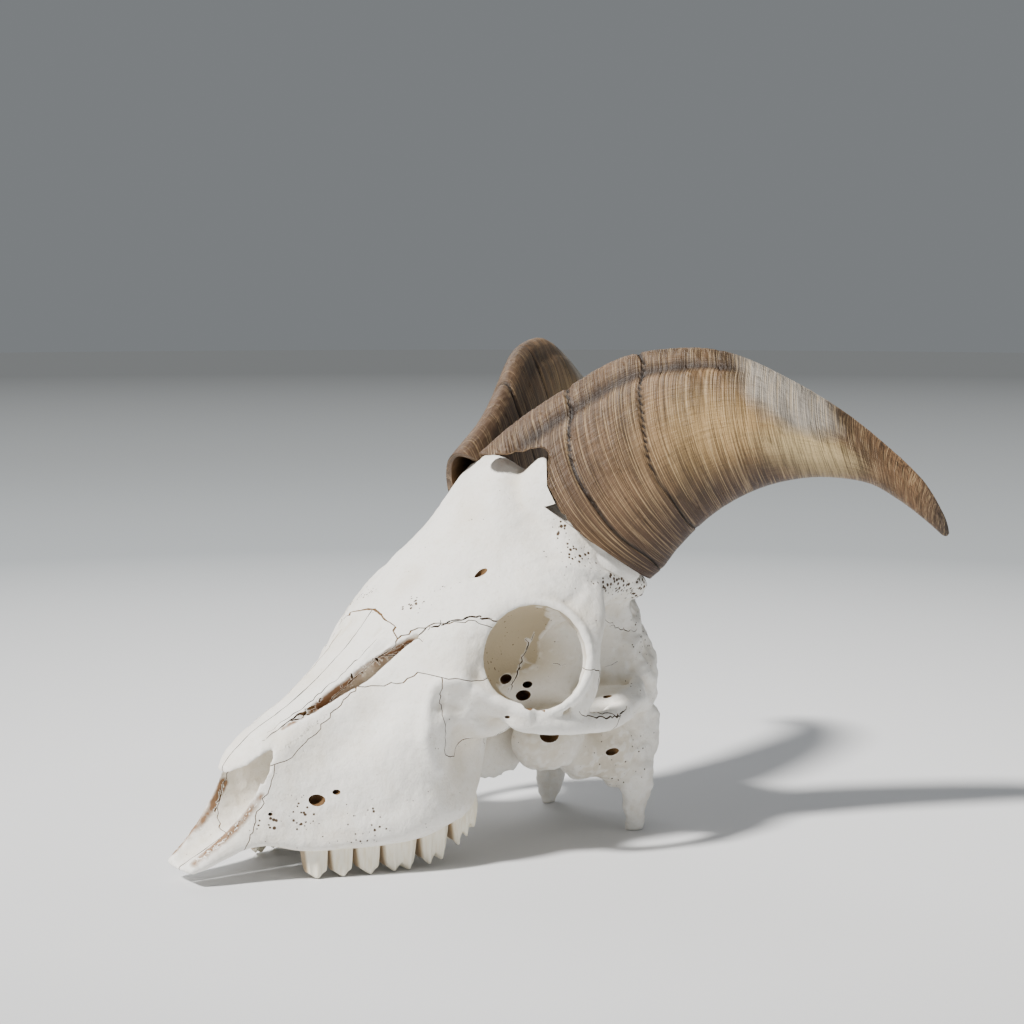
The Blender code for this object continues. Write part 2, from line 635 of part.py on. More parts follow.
def part_bones(bone):
    """The skull is divided along its sutures; what is left over is the cranium."""
    spaces = (
        ("nasal", NASAL_SIDE, HALF_TOP),
        ("premaxilla", PREMAXILLA_SIDE, HALF_TOP),
        ("lacrimal", LACRIMAL_SIDE, LACRIMAL_TOP),
        ("zygomatic", ZYGOMATIC_SIDE, ZYGOMATIC_TOP),
        ("maxilla", MAXILLA_SIDE, HALF_TOP),
    )
    parts = {}
    for name, side_view, top_view in spaces:
        for word, side in SIDES.items():
            piece = copy_of(bone, name + "_" + word)
            combine(piece, [bone_space(side_view, top_view, side, 0.0)], "INTERSECT")
            parts[piece.name] = keep_largest(piece)
            combine(bone, [bone_space(side_view, top_view, side, GAP)], "DIFFERENCE")
    bone.name = "cranium"
    parts["cranium"] = keep_largest(bone)
    return parts


def row_outline(x):
    xs, ys = zip(*ROW_OUTLINE)
    return float(np.interp(x, xs, ys))


def tooth(index, side):
    """One cheek tooth: lobes along the row, a worn end below, a root that narrows upward."""
    name, start, lobes, thick, low_front, low_back = TEETH[index]
    end = TEETH[index + 1][1] if index + 1 < len(TEETH) else TOOTH_ROW_END
    start, end = start + TOOTH_SPACE / 2, end - TOOTH_SPACE / 2
    length = end - start
    middle = (start + end) / 2
    lean = (row_outline(end) - row_outline(start)) / length
    rings = []
    for level, wide, deep in ((0.0, 0.94, 0.74), (0.45, 1.0, 0.96), (0.75, 0.96, 1.0), (1.0, 0.72, 0.7)):
        ring = []
        for i in range(20):
            angle = 2 * math.pi * i / 20
            u = power(math.cos(angle), 0.5)
            v = power(math.sin(angle), 0.5)
            notch = 1.0 - 0.16 * abs(math.cos(math.pi * lobes * (u + 1) / 2)) ** 3
            x = middle + u * wide * length / 2
            y = row_outline(middle) + lean * (x - middle) - thick / 2 + v * deep * notch * thick / 2
            low = low_front + (low_back - low_front) * (0.5 + 0.5 * u) - 0.5
            top = TOOTH_TOP + 0.2 * (middle + 100) * 0.25
            ring.append((x, side * y, low + (top - low) * level))
        rings.append(ring)
    return skin_rings(name, rings)


def add_teeth(maxilla, side):
    """All teeth of a row join the maxilla in one union."""
    row = collection_named("row")
    for index in range(len(TEETH)):
        piece = tooth(index, side)
        bpy.context.scene.collection.objects.unlink(piece)
        row.objects.link(piece)
    before = maxilla.data.copy()
    for solver in ("EXACT", "MANIFOLD"):
        maxilla.data = before.copy()
        step = maxilla.modifiers.new("teeth", "BOOLEAN")
        step.operand_type = "COLLECTION"
        step.collection = row
        step.operation = "UNION"
        step.solver = solver
        applied(maxilla)
        if is_closed(maxilla.data):
            break
    for piece in list(row.objects):
        bpy.data.objects.remove(piece)
    bpy.data.collections.remove(row)
    return keep_largest(maxilla)


def level_off(obj):
    """Cuts off whatever reaches below the floor, which leaves small flats to rest on."""
    outline = ((-200.0, -90.0), (90.0, -90.0), (90.0, 90.0), (-200.0, 90.0))
    return combine(obj, [prism("floor", outline, lambda u, v, w: (u, v, w), -30.0, 0.0)], "DIFFERENCE")


def rim_notch(side, spare):
    """The space under the forward flap of the sheath, where the horn core shows."""
    keel, rear = np.array(HORN[0][0]), np.array(HORN[0][1])
    across = (rear - keel) / np.linalg.norm(rear - keel)
    flat = np.cross(np.array(HORN_AXIS), across)
    flat /= np.linalg.norm(flat)
    rise = np.cross(across, flat)
    place = lambda u, v, w: mirrored(keel + across * u + rise * v + flat * w, side)
    return prism("notch", grown(NOTCH, spare), place, -40.0, 40.0)


def horn_sheath(side):
    outer = horn_shape("sheath", side, 0.0, 1.0, 0.0, sides=24, rings=26)
    hollow = horn_shape("hollow", side, -0.03, SHEATH_HOLLOW, SHEATH_WALL, sides=20, rings=7, close=0.85)
    cutters = [hollow, rim_notch(side, 0.0)] if side == NOTCHED else [hollow]
    return combine(outer, cutters, "DIFFERENCE")


def add_cores(bone):
    """Under each sheath the bone is cut clear of it, and a core is joined that fills its hollow."""
    for side in SIDES.values():
        room = horn_shape("room", side, 0.0, 0.5, -12.0, sides=20, rings=8, front=38.0)
        slot = horn_shape("slot", side, 0.0, 0.4, -GAP - 0.1, sides=24, rings=8)
        if side == NOTCHED:
            combine(slot, [rim_notch(side, -GAP - 0.2)], "DIFFERENCE")
        end = 0.6 * SHEATH_HOLLOW
        inset = SHEATH_WALL + CORE_GAP
        core = horn_shape("core", side, -0.06, end, inset, sides=20, rings=7, close=0.85, front=CORE_FRONT)
        combine(bone, [room, slot], "DIFFERENCE")
        combine(bone, [core], "UNION")
    return bone


def main():
    clear_scene()
    bone = skull_bone()
    reduce_faces(bone, FACE_BUDGET)
    parts = part_bones(keep_largest(add_cores(bone)))
    for word, side in SIDES.items():
        level_off(add_teeth(parts["maxilla_" + word], side))
    level_off(parts["cranium"])
    shift = Matrix.Translation((SHIFT_X * MM, 0.0, 0.0))
    white = material("bone", (0.86, 0.85, 0.81), 0.6)
    horn = material("horn", (0.30, 0.20, 0.13), 0.6)
    skull = collection_named("goat_skull")
    for word, side in SIDES.items():
        sheath = horn_sheath(side)
        sheath.name = "horn_" + word
        parts[sheath.name] = sheath
    for name, piece in parts.items():
        piece.data.materials.clear()
        piece.data.materials.append(horn if name.startswith("horn") else white)
        piece.data.transform(shift)
        bpy.context.scene.collection.objects.unlink(piece)
        skull.objects.link(piece)


main()
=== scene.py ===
"""A goat's skull with its horn sheaths: weathered bone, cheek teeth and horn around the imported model.

The nose points to -X, the skull's own left side to -Y, and the floor is z = 0.
Landmarks are in millimetres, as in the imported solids, and are turned to metres as shapes are made.
"""

import math

import bmesh
import bpy
import numpy as np
from mathutils import Matrix, Vector, noise


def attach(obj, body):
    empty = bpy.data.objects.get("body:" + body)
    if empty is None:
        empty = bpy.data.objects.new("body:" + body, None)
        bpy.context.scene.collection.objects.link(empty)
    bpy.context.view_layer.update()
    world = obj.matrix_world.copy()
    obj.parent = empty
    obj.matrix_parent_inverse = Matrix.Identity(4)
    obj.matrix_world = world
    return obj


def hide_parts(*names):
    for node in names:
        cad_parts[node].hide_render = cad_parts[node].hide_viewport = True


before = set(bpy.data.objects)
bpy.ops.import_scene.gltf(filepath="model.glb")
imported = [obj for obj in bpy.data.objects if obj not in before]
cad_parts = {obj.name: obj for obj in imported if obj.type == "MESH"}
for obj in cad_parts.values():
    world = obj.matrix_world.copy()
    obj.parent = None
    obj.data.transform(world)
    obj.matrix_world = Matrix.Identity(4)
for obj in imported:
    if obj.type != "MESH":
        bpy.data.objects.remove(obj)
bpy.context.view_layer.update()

bl_info = {
    "name": "Goat skull",
    "version": (1, 0, 0),
    "blender": (4, 5, 0),
    "location": "View3D > Sidebar > Skull",
    "description": "Models a goat's skull with its horn sheaths around its packed solids",
    "category": "Object",
}

MM = 0.001

# How far the finished model is moved along X, so that the middle of its box is at x = 0.
SHIFT_X = 9.70

# The gap that neighbouring bones keep.
GAP = 0.3

LEFT = -1
SIDES = {"left": LEFT, "right": 1}

# Landmarks of the skull, given for the right side (y positive) and mirrored for the left one.
ORBIT_CENTRE = (-26.0, 52.0, 79.8)
ORBIT_AXIS = (-0.448, 0.870, 0.198)
ORBIT_RADIUS = 19.3
ORBIT_DEPTH = 35.0
RIM_THICKNESS = 2.2

# Cheek teeth from the front: start along X, lobes, thickness, and height of the tip before and behind.
TEETH = (
    ("premolar_2", -110.6, 1, 7, 0, 0), ("premolar_3", -101, 1, 8.6, 0, 0),
    ("premolar_4", -91.6, 1, 9.8, 0, 0), ("molar_1", -81.4, 2, 12, 0, 0),
    ("molar_2", -66.4, 2, 12.6, 0.6, 3), ("molar_3", -53.2, 3, 11.4, 5.6, 14.6),
)
TOOTH_ROW_END = -39.6
TOOTH_TOP = 27.0
ROW_OUTLINE = ((-112, 22.6), (-100, 26.4), (-85, 31.4), (-66, 35.4), (-50, 37), (-38, 36.4))

# Where the bones meet, as side views (x, z) and top views (x, y) of the space that each one fills.
NASAL_SIDE = (
    (-140, 30), (-121, 43), (-112, 46), (-103, 53), (-88, 66.5), (-76, 77.5), (-69, 84), (-62, 112),
    (-140, 112),
)
PREMAXILLA_SIDE = ((-160, -4), (-134.5, -4), (-133, 10), (-127.5, 25), (-119.5, 40), (-117, 60), (-160, 60))
LACRIMAL_SIDE = (
    (-84, 70), (-73, 71.5), (-67, 76), (-58, 74.5), (-47, 72.5), (-34, 74), (-34, 91), (-40, 91.5),
    (-46, 94.4), (-57, 93), (-66.6, 88.1), (-77, 79.6),
)
LACRIMAL_TOP = ((-90, 60), (-90, 8), (-66, 21), (-46, 33), (-32, 41), (-32, 60))
ZYGOMATIC_SIDE = (
    (-60, 45), (-46, 40), (-30, 44), (2, 44), (10, 54.6), (-4, 57.5), (-3, 74), (-16, 76), (-26, 60),
    (-34, 62), (-34, 76), (-47, 76), (-58, 78), (-62.5, 79),
)
ZYGOMATIC_TOP = ((-70, 80), (-70, 30), (-58, 37), (-44, 39), (-30, 46.5), (-10, 52), (14, 48), (14, 80))
MAXILLA_SIDE = (
    (-136, -4), (-24, -4), (-27, 25), (-33, 42), (-42, 60), (-42, 76), (-58, 79), (-68, 80), (-76, 81),
    (-92, 68), (-106, 56), (-116, 50), (-122, 46), (-124, 38), (-131, 24), (-136, 9),
)
HALF_TOP = ((-170, 0.15), (20, 0.15), (20, 70), (-170, 70))
# The bones in the order in which they are cut out, with the seed of their seams and the two views.
SEAMS = {
    "nasal": (11, NASAL_SIDE, HALF_TOP),
    "premaxilla": (23, PREMAXILLA_SIDE, HALF_TOP),
    "lacrimal": (37, LACRIMAL_SIDE, LACRIMAL_TOP),
    "zygomatic": (41, ZYGOMATIC_SIDE, ZYGOMATIC_TOP),
    "maxilla": (53, MAXILLA_SIDE, HALF_TOP),
}

# Horn stations from the base rim to the tip: keel edge and rear edge of the sheath, and its thickness.
HORN = (
    ((-21.5, 6.6, 153.4), (35.2, 45, 104.6), 34),
    ((-6, 10.3, 165.8), (39, 48.4, 109.2), 31),
    ((8.4, 19.4, 177.2), (43.8, 52.4, 117.4), 29.6),
    ((27.2, 35.1, 191.2), (53.4, 58.6, 128.8), 29),
    ((46.2, 49.7, 195.3), (64.6, 65.7, 137.3), 28.4),
    ((61.4, 61.7, 193.3), (78.3, 72.2, 142.5), 26.4),
    ((78.4, 73.2, 184.5), (92.9, 80.5, 144.4), 23.2),
    ((97.8, 84.4, 171.6), (106.6, 91.2, 142.2), 19.6),
    ((112.9, 95.2, 157.2), (114.3, 100.1, 136.3), 14.6),
    ((124.6, 105.6, 142.1), (122.2, 107.2, 128.5), 9),
    ((131.2, 112.9, 125.6), (129.7, 113.5, 119.9), 3.4),
)
HORN_AXIS = (0.65, 0.47, 0.60)
KEEL_SHARPNESS = 0.30
OUTER_SHARE = 0.48
SHEATH_HOLLOW = 0.22
CORE_FRONT = 24.0

# The notch in the front of the left rim: distance along the rim from the keel, and height above the rim.
NOTCHED = LEFT
NOTCH = (
    (-4, -6), (-1, 0), (5, 4.2), (10.5, 8.7), (18, 17), (21.5, 17.6), (24, 14), (29, 7.3), (36, 3.6),
    (44, 1.2), (52, -1), (52, -6),
)


# Openings for nerves and vessels: centre, direction and radii across and along, for the right side.
FORAMINA = (
    ((-36.3, 30.6, 110.7), (0.3, 0.5, 0.8), 1.7, 3), ((-105.9, 24, 30.2), (-0.1, 1, 0), 2.8, 4),
    ((-98.9, 26.8, 32.8), (-0.1, 1, 0.1), 1.3, 3), ((-122.4, 18.4, 26), (-0.2, 1, 0), 0.8, 2.5),
    ((-39, 53, 58.5), (-0.3, 1, 0), 0.9, 3), ((10.4, 49, 60.4), (0.3, 0.8, 0.5), 1, 4),
    ((-5.7, 34, 44.6), (0, 1, 0.1), 4, 7), ((-19.7, 24.8, 67), (-0.45, 0.87, 0.1), 2.6, 8),
    ((-8.8, 20.5, 58.5), (-0.45, 0.87, 0.1), 3, 9), ((-7.5, 21, 63), (-0.45, 0.87, 0.1), 1.8, 9),
    ((26, 34, 34), (0.2, 1, 0.1), 2.2, 6),
)

# Open cracks: points along one, its depth direction, its width and depth.
CRACKS = (
    (((-64, 26.4, 87.6), (-72, 22, 82.4), (-79, 18.6, 77.2), (-86, 16.2, 71.6)), (-0.2, 0.7, 0.7), 1.5, 7),
    (((-76, 17.4, 80.4), (-86, 15, 73.4), (-98, 13, 65.6), (-110, 10.6, 58.6)), (0.1, 0.5, 0.9), 1.2, 5),
    (((-72, 13, 86), (-86, 11.6, 76), (-102, 9.2, 64), (-118, 7.4, 55)), (0.1, 0.4, 0.9), 0.5, 3),
    (((-82, 15.6, 75.6), (-94, 12.6, 68), (-106, 10, 60), (-120, 9, 52)), (0.1, 0.5, 0.9), 0.7, 3),
    (((-116, 13, 47), (-104, 15.4, 55), (-93, 18, 63)), (0, 0.8, 0.6), 0.8, 4),
    (((-66, 30, 88.6), (-57, 34, 93.4), (-46, 39.6, 95), (-36, 45, 92)), (0.2, 0.8, 0.5), 0.8, 5),
    (((28.5, 34.6, 71), (16, 37, 68), (6, 34, 70), (0, 30, 72)), (0.2, 1, 0.2), 0.5, 4),
    (((20, 33, 90), (30, 33, 84), (40, 28, 80)), (0.2, 1, 0.2), 0.35, 3),
    (((-12, 61, 58.4), (-2, 61.4, 55.6), (8, 59, 54.6), (14, 56, 56)), (0, 1, 0.3), 0.7, 6),
    (((-9, 28, 84), (-12, 25, 74), (-16, 24, 64), (-18, 24, 58)), (-0.45, 0.87, 0.1), 0.6, 5),
    (((-50, 24, 108), (-44, 28, 109), (-37, 30.6, 110.6)), (0.3, 0.5, 0.8), 0.5, 1.6),
    (((-147, 8.2, 9), (-141, 10.6, 14.4), (-134, 12.4, 20.6), (-126, 14.6, 29)), (0, 0.6, 0.8), 0.9, 3),
)

# Raised and sunken lines of the bone: points for the right side, reach, and height outward.
RELIEF = (
    (((-66, 42, 74), (-55.3, 45, 73), (-45, 50, 66), (-32, 56, 60)), 2.6, 2.1),
    (((-62, 43, 64), (-52, 45, 60), (-42, 50, 56)), 5.5, -3.8),
    (((-66, 41.5, 70), (-69.1, 41.5, 51.6), (-64, 40, 40)), 2.6, 1.4),
    (((-54, 42, 52), (-50, 40, 44)), 6.5, -2.8),
    (((-70, 11, 90), (-90, 9.4, 74.4), (-110, 7, 61), (-130, 6, 49)), 1.1, -1),
    (((-72, 14.6, 85.6), (-90, 11.8, 72), (-110, 9, 59.6), (-128, 8, 48)), 1, 0.9),
    (((-70, 18.6, 85), (-84, 14.8, 75.6), (-100, 11.8, 65), (-116, 9.6, 55.6)), 1, -0.8),
    (((-94, 26, 50), (-82, 28, 62)), 8, -1.6),
    (((-100, 30, 20), (-60, 40, 22)), 3, 0.5),
    (((-50, 24, 107), (-40, 29, 110)), 3.6, -0.8),
    (((-72, 10, 92), (-52, 14, 107)), 6, -0.7),
    (((-4, 53, 100), (8, 46, 103), (22, 36, 101), (36, 28, 88)), 2, 1),
    (((14, 34, 88), (30, 34, 80)), 9, -1.4),
    (((4, 34, 66), (26, 36, 66)), 5, -1.2),
    (((6, 55, 58), (22, 48, 61), (34, 38, 64)), 2.4, 1.2),
    (((-10, 45, 114), (8, 48, 108), (30, 42, 103)), 2.6, 0.9),
    (((24, 30, 30), (30, 30, 20)), 3, -1.5),
    (((40.4, 34, 34), (40.4, 33, 8)), 1.8, 0.7),
)

# Brown stains: centre for the right side, reach and strength.
STAINS = (
    ((-36.3, 30.6, 110.7), 2.4, 1), ((-118, 9, 46), 5, 0.8), ((-59.6, 18, 98.7), 6, 0.4),
    ((-105.9, 26, 30.2), 2.4, 0.6),
)
# Stained lines: points, reach and strength.
STAIN_LINES = (
    (
        (
            (-63.2, 23.1, 84.4), (-74.2, 17.5, 77), (-81.2, 14.7, 71.4), (-89.2, 12.3, 66.4),
            (-97.2, 10.3, 60.8),
        ),
        3.6, 1.3,
    ),
    (((-98, 13.2, 63.4), (-112, 10.4, 56.4)), 1.6, 1.1),
    (((-148, 8, 8), (-138, 10.8, 16.4), (-130, 12.8, 24), (-124, 14.4, 32)), 2.3, 1.35),
    (((-66, 30, 88.6), (-57, 34, 93.4), (-46, 39.6, 95)), 0.9, 0.9),
)
# Painted shade: recesses and places under the skull are painted a darker cream; at the base this also stands
# for some old fat.
SHADED = (
    ((-16, 30, 75), 17, 1), ((-4, 26, 46), 16, 0.6), ((22, 26, 34), 16, 0.55), ((22, 40, 78), 11, 0.4),
    ((-50, 42, 48), 9, 0.35),
)
# Open-pored places.
PORES = (
    ((33.7, 41, 102), 10, 1.3), ((22, 46, 105), 10, 1.3), ((12, 47, 107), 9, 1.2), ((1, 44.5, 116), 8, 1),
    ((-3, 37, 125), 6, 0.7), ((-59.6, 18, 98.7), 8, 0.7), ((-20, 34, 78), 20, 0.55),
    ((-112, 23, 22), 9, 0.75), ((-122, 19, 22), 6, 0.9), ((-88, 31, 17), 11, 0.6), ((24, 44, 58), 10, 0.5),
    ((44, 30, 80), 12, 0.55), ((30, 28, 30), 14, 0.5),
)

# Cracks that ring the horn: distance from the base rim, width and depth.
RING_CRACKS = (
    (5, 0.35, 0.35), (12, 0.3, 0.3), (22.5, 0.7, 1.2), (28, 0.3, 0.3), (36, 0.35, 0.4), (50, 0.7, 1.1),
    (57, 0.3, 0.35), (66, 0.35, 0.3), (78, 0.35, 0.3), (88, 0.3, 0.25),
)
RING_TILT = 11.0
RING_SAG = 9.0

# The groove under the keel: its turn from the keel, half width and depth, and where along the horn it ends.
KEEL_GROOVE = (0.62, 0.16, 2.0, 96.0)

# Colour zones of the sheath. Bells along it and round it: middle, spread, middle, spread and strength.
ZONE_BELLS = {"gold": (74, 26, -0.05, 0.5, 0.9), "yellow": (106, 22, -0.45, 0.5, 0.85)}
# Slopes along it: where each starts, over what length it rises, and its strength.
ZONE_SLOPES = {"tip": (126, 22, 0.7), "end": (158, 18, 0.85)}

# Where the bone is rugged: behind this X, and below this height as far forward as the last number.
RUGGED = (16.0, 40.0, -22.0)

# Straps and bars: width direction, then points with half width and half thickness, for the right side.
HORN_FOOT = (
    (0.667, 0.44, -0.595),
    ((2, 24, 106, 22, 12), (9, 28, 120, 28, 14), (14, 31, 130, 30, 14), (17, 33, 134, 28, 12)),
)
FISSURE = (
    (-0.2, 0.72, 0.66),
    (
        (-112, 10.6, 56.4, 5, 0.7), (-104, 12.2, 60.6, 6, 1.1), (-96, 14, 65.6, 7, 1.6),
        (-88, 16, 70.6, 8, 2.3), (-81, 18.4, 75.4, 8.5, 3), (-75, 20.6, 80, 8, 2.5), (-68, 24, 85, 7, 1.4),
        (-61, 28, 89.4, 6, 0.8),
    ),
)
ARCH = (
    (0, 0, 1),
    (
        (-62, 40, 64, 6, 3), (-47, 46, 62, 6, 3.2), (-30, 54.5, 56, 4.6, 3.4), (-12, 59, 54, 4.2, 3),
        (6, 57.5, 53.5, 4.4, 2.8), (24, 49, 56.5, 4.6, 3), (37, 36, 61, 5, 4),
    ),
)
BAR = (
    (1, 0, 0.1),
    (
        (-12, 59, 56, 4.4, 2.6), (-6.5, 60.3, 68, 4.4, 2.6), (-5.5, 58.8, 82, 5.4, 2.8),
        (-4, 54, 94, 9.5, 4), (-3, 45, 105, 13, 5),
    ),
)
EAR_POINT = (
    (1, 0, 0),
    (
        (45, 29, 52, 8.5, 5), (41.5, 30.5, 36, 9.2, 4), (40.4, 30.5, 21, 8.2, 3.2),
        (40.4, 29.6, 10, 6.6, 3), (40, 29.2, 4, 4.8, 2.8), (39.6, 29, -2.2, 3.2, 2.4),
    ),
)
NAPE_CREST = (
    (1, 0, 0.4),
    (
        (34, -34, 70, 4, 3), (40, -28.6, 82, 4.2, 3), (45, -15, 91, 4.4, 3.2), (47, 0, 94, 5.2, 4),
        (45, 15, 91, 4.4, 3.2), (40, 28.6, 82, 4.2, 3), (34, 34, 70, 4, 3),
    ),
)
SKULL_FLOOR = ((0, 1, 0), ((-40, 0, 50, 12, 12), (5, 0, 44, 14, 10), (50, 0, 38, 13, 8)))

# Rounded masses behind the face: centre and radii.
MASSES = {
    "ear_root": ((35, 29, 60), (16, 9, 15)),
    "base_front": ((0, 25, 41), (17, 10, 13)),
    "ear_bulla": ((20, 23, 32), (12, 8.5, 11)),
    "ear_base": ((32, 26, 34), (11, 9, 17)),
    "jaw_seat": ((18, 40, 57.5), (15, 15, 5.5)),
    "cheek_seat": ((-42, 38, 62), (20, 12, 14)),
    "nape_side": ((43, 19, 60), (13, 12, 16)),
}
THIN_MASSES = {"condyle": ((50.5, 13.5, 35), (7.5, 9, 11.5)), "wing": ((-18, 12.5, 40), (20, 2.6, 15))}

# The overhanging front of the nasal bones: x, height, and how wide it is.
NASAL_TIP = (
    (-132.5, 41.6, 0.3), (-130, 44.6, 0.55), (-126, 48.4, 0.8), (-120, 53.2, 0.96), (-114, 56.6, 1),
    (-104, 61.6, 1),
)

# Hollows along X: x, top, bottom, and half width at the top and at the bottom.
NOSE_HOLLOW = (
    (-165, 44, 5, 6.6, 7.6), (-151, 44, 6.2, 6.8, 7.8), (-146, 50, 8.4, 8.8, 9.6),
    (-138, 56, 12.4, 10.8, 11.8), (-130, 66, 16.4, 13, 14), (-122, 66, 17.8, 13.6, 15.6),
    (-115, 54, 20, 12.4, 15.6), (-102, 55, 24, 10.5, 14.5), (-88, 50, 32, 7, 8),
)
PALATE_HOLLOW = (
    (-146, 5.6, -6, 3, 6), (-128, 14.4, -6, 8, 12), (-110, 17.5, -6, 11, 13.5), (-85, 20, -6, 13, 17),
    (-62, 24, -6, 14, 20), (-42, 31, -6, 13, 22), (-26, 34, -6, 11, 30),
)

# Half sections of the face and of the brain case: x, then y and z from the top's middle round to the floor's.
FACE_SECTIONS = (
    (-151.5, ((0, 8), (4, 8), (8, 7.6), (9.6, 6.8), (10, 6), (9.4, 5), (7, 4.3), (0, 4.3))),
    (-146, ((0, 12), (5, 12), (9.6, 11.6), (11.4, 10), (12, 8.2), (11.6, 6.8), (9, 5.6), (0, 5.6))),
    (-138, ((0, 19), (6, 19), (11.4, 18.2), (13.2, 15.6), (14.4, 12.6), (14.2, 10.6), (12, 9.4), (0, 9.4))),
    (-130, ((0, 31), (6, 31), (12.8, 29), (14.8, 24), (16.6, 18.6), (17.2, 15), (15, 13), (0, 13))),
    (-122, ((0, 46), (7, 46), (14, 43), (16.4, 35), (18.8, 26), (20.2, 18.4), (18.4, 13.6), (0, 13.6))),
    (
        -112,
        ((0, 57), (8, 56.6), (14.6, 52.4), (17.6, 43.6), (20.8, 32), (23.6, 20), (23.2, 11.4), (0, 11.4)),
    ),
    (-100, ((0, 64.5), (8, 64), (14.8, 59.6), (19.4, 50), (24.8, 37.6), (28.4, 22.4), (27.8, 11), (0, 11))),
    (-86, ((0, 75), (9, 74.4), (16.4, 70), (22.6, 61), (30.6, 46), (34.2, 26), (33, 11.4), (0, 11.4))),
    (-75, ((0, 85), (11, 84), (20, 78.4), (28, 69), (37.4, 54), (38.6, 32), (36.4, 12.2), (0, 12.2))),
    (-65, ((0, 96.5), (13, 95.4), (25, 88.4), (34, 79), (43.6, 64), (42, 38), (37.6, 13.6), (0, 13.6))),
    (
        -55,
        ((0, 106.6), (15, 103.8), (28.6, 96.4), (38.6, 87.6), (46, 68), (40, 38), (37.6, 16.4), (0, 16.4)),
    ),
    (-45, ((0, 116), (17, 112.2), (32.4, 103.6), (42.4, 93.4), (44, 72), (36, 42), (35.6, 20), (0, 20))),
    (-35, ((0, 124.6), (17, 120), (34, 109.2), (46, 98.6), (43, 78), (32, 52), (27, 30), (0, 30))),
    (-26, ((0, 134), (16, 129), (33.4, 115), (49.4, 101.6), (41, 84), (26, 60), (18, 42), (0, 40))),
    (-17, ((0, 146.6), (13, 142.8), (30.6, 122.6), (52, 102.6), (39, 90), (22, 64), (14, 46), (0, 42))),
    (-9, ((0, 152.6), (12, 148.6), (29, 128), (53.4, 102), (40, 92), (20, 70), (12, 50), (0, 46))),
    (-1, ((0, 147), (15, 146), (33, 132), (51.4, 103), (43, 93), (22, 84), (10, 78), (0, 76))),
    (9, ((0, 134), (18, 145), (34, 130), (48.6, 106), (45, 96), (28, 88), (12, 80), (0, 80))),
    (23, ((0, 122), (14, 124), (32, 119), (43.6, 107), (42.6, 99), (28, 90), (12, 84), (0, 84))),
    (38.5, ((0, 108), (11, 108), (26, 107), (37.6, 104.4), (38.4, 100), (28, 93), (12, 89), (0, 89))),
)

BRAIN_SECTIONS = (
    (-22, ((0, 88), (9, 87), (16, 83), (20, 76), (20, 66), (15, 57), (8, 50), (0, 48))),
    (-8, ((0, 116), (12, 113), (21, 104), (25, 91), (25.5, 76), (21, 60), (12, 48), (0, 44))),
    (8, ((0, 124), (14, 119), (26, 107), (30.5, 93), (31.5, 78), (27, 61), (14, 46), (0, 42))),
    (24, ((0, 117), (15, 113), (27, 103), (32, 90), (33.4, 76), (30, 59), (15, 44), (0, 40))),
    (37, ((0, 107), (14, 104), (25, 97), (31, 86), (33.6, 73), (31, 57), (16, 42), (0, 38))),
    (46, ((0, 96), (12, 94), (21, 88), (27.6, 79), (31.4, 70), (29, 55), (17, 41), (0, 37))),
    (53, ((0, 87), (10, 85.4), (17.6, 81), (23.4, 74.6), (27.2, 67), (24, 55), (15, 43), (0, 40))),
    (58, ((0, 78), (7, 77), (12.4, 74), (16.4, 70), (17.6, 63.6), (15, 57), (9, 51), (0, 50))),
)

# Waves of the weathered surface: size, seed, octaves, and height as a share of the setting.
WAVES = ((7.0, 3, 3, 1.0), (2.4, 5, 2, 0.5))
# Waves of rugged bone: size, seed, octaves and height.
RUGGED_WAVES = ((6.0, 9, 3, 1.1), (12.0, 17, 3, 1.3))

# A tooth's width and depth as shares, from its worn end at level 0 up to its root at level 1.
TOOTH_WIDTH = ((0.0, 0.12, 0.4, 0.7, 1.0), (0.8, 0.88, 1.0, 0.98, 0.76))
TOOTH_DEPTH = ((0.0, 0.012, 0.06, 0.4, 1.0), (0.55, 0.72, 0.8, 0.97, 0.8))

# Noise in the bone's material: scale and detail.
BONE_NOISE = {
    "patches": (45.0, 4.0), "flecks": (650.0, 3.0), "blots": (240.0, 5.0), "spread": (150.0, 4.0),
    "grain": (1100.0, 2.0), "waves": (260.0, 3.0),
}

# Kinds of node that the trees use more than once.
MATHS = "ShaderNodeMath"
NOISE = "ShaderNodeTexNoise"
RANGE = "ShaderNodeMapRange"
VECTOR = "ShaderNodeCombineXYZ"
ATTRIBUTE = "ShaderNodeAttribute"

# The floor's radius, how far it lies under the skull, and the height that the camera looks at.
FLOOR_RADIUS = 4.0
FLOOR_DROP = 0.0002
LOOK_HEIGHT = 0.129
# How strongly the surroundings light the scene.
SURROUNDINGS = 0.75

# Lights: kind, place to the camera's right, towards it and up, width or angle, strength and colour.
LIGHTS = (
    ("key", "SUN", (-0.74, 0.5, 0.95), 7, 7.6, "FFFCF7"),
    ("fill", "AREA", (1.1, 0.9, 0.5), 1.2, 1.6, "FBF8F2"),
    ("back", "AREA", (-0.3, -0.9, 0.9), 0.8, 5, "FFFFFF"),
)


def linear(code):
    """An sRGB hex colour as the linear values that Blender's sockets take."""
    channels = [int(code[i : i + 2], 16) / 255 for i in (0, 2, 4)]
    return tuple(c / 12.92 if c <= 0.04045 else ((c + 0.055) / 1.055) ** 2.4 for c in channels)


def length(name, text, value, **more):
    return bpy.props.FloatProperty(
        name=name, description=text, default=value, unit="LENGTH", precision=5, **more
    )


def colour(name, text, code):
    return bpy.props.FloatVectorProperty(
        name=name, description=text, default=linear(code), subtype="COLOR", size=3, min=0.0, max=1.0
    )


def angle(name, text, degrees):
    return bpy.props.FloatProperty(
        name=name, description=text, default=math.radians(degrees), subtype="ANGLE"
    )


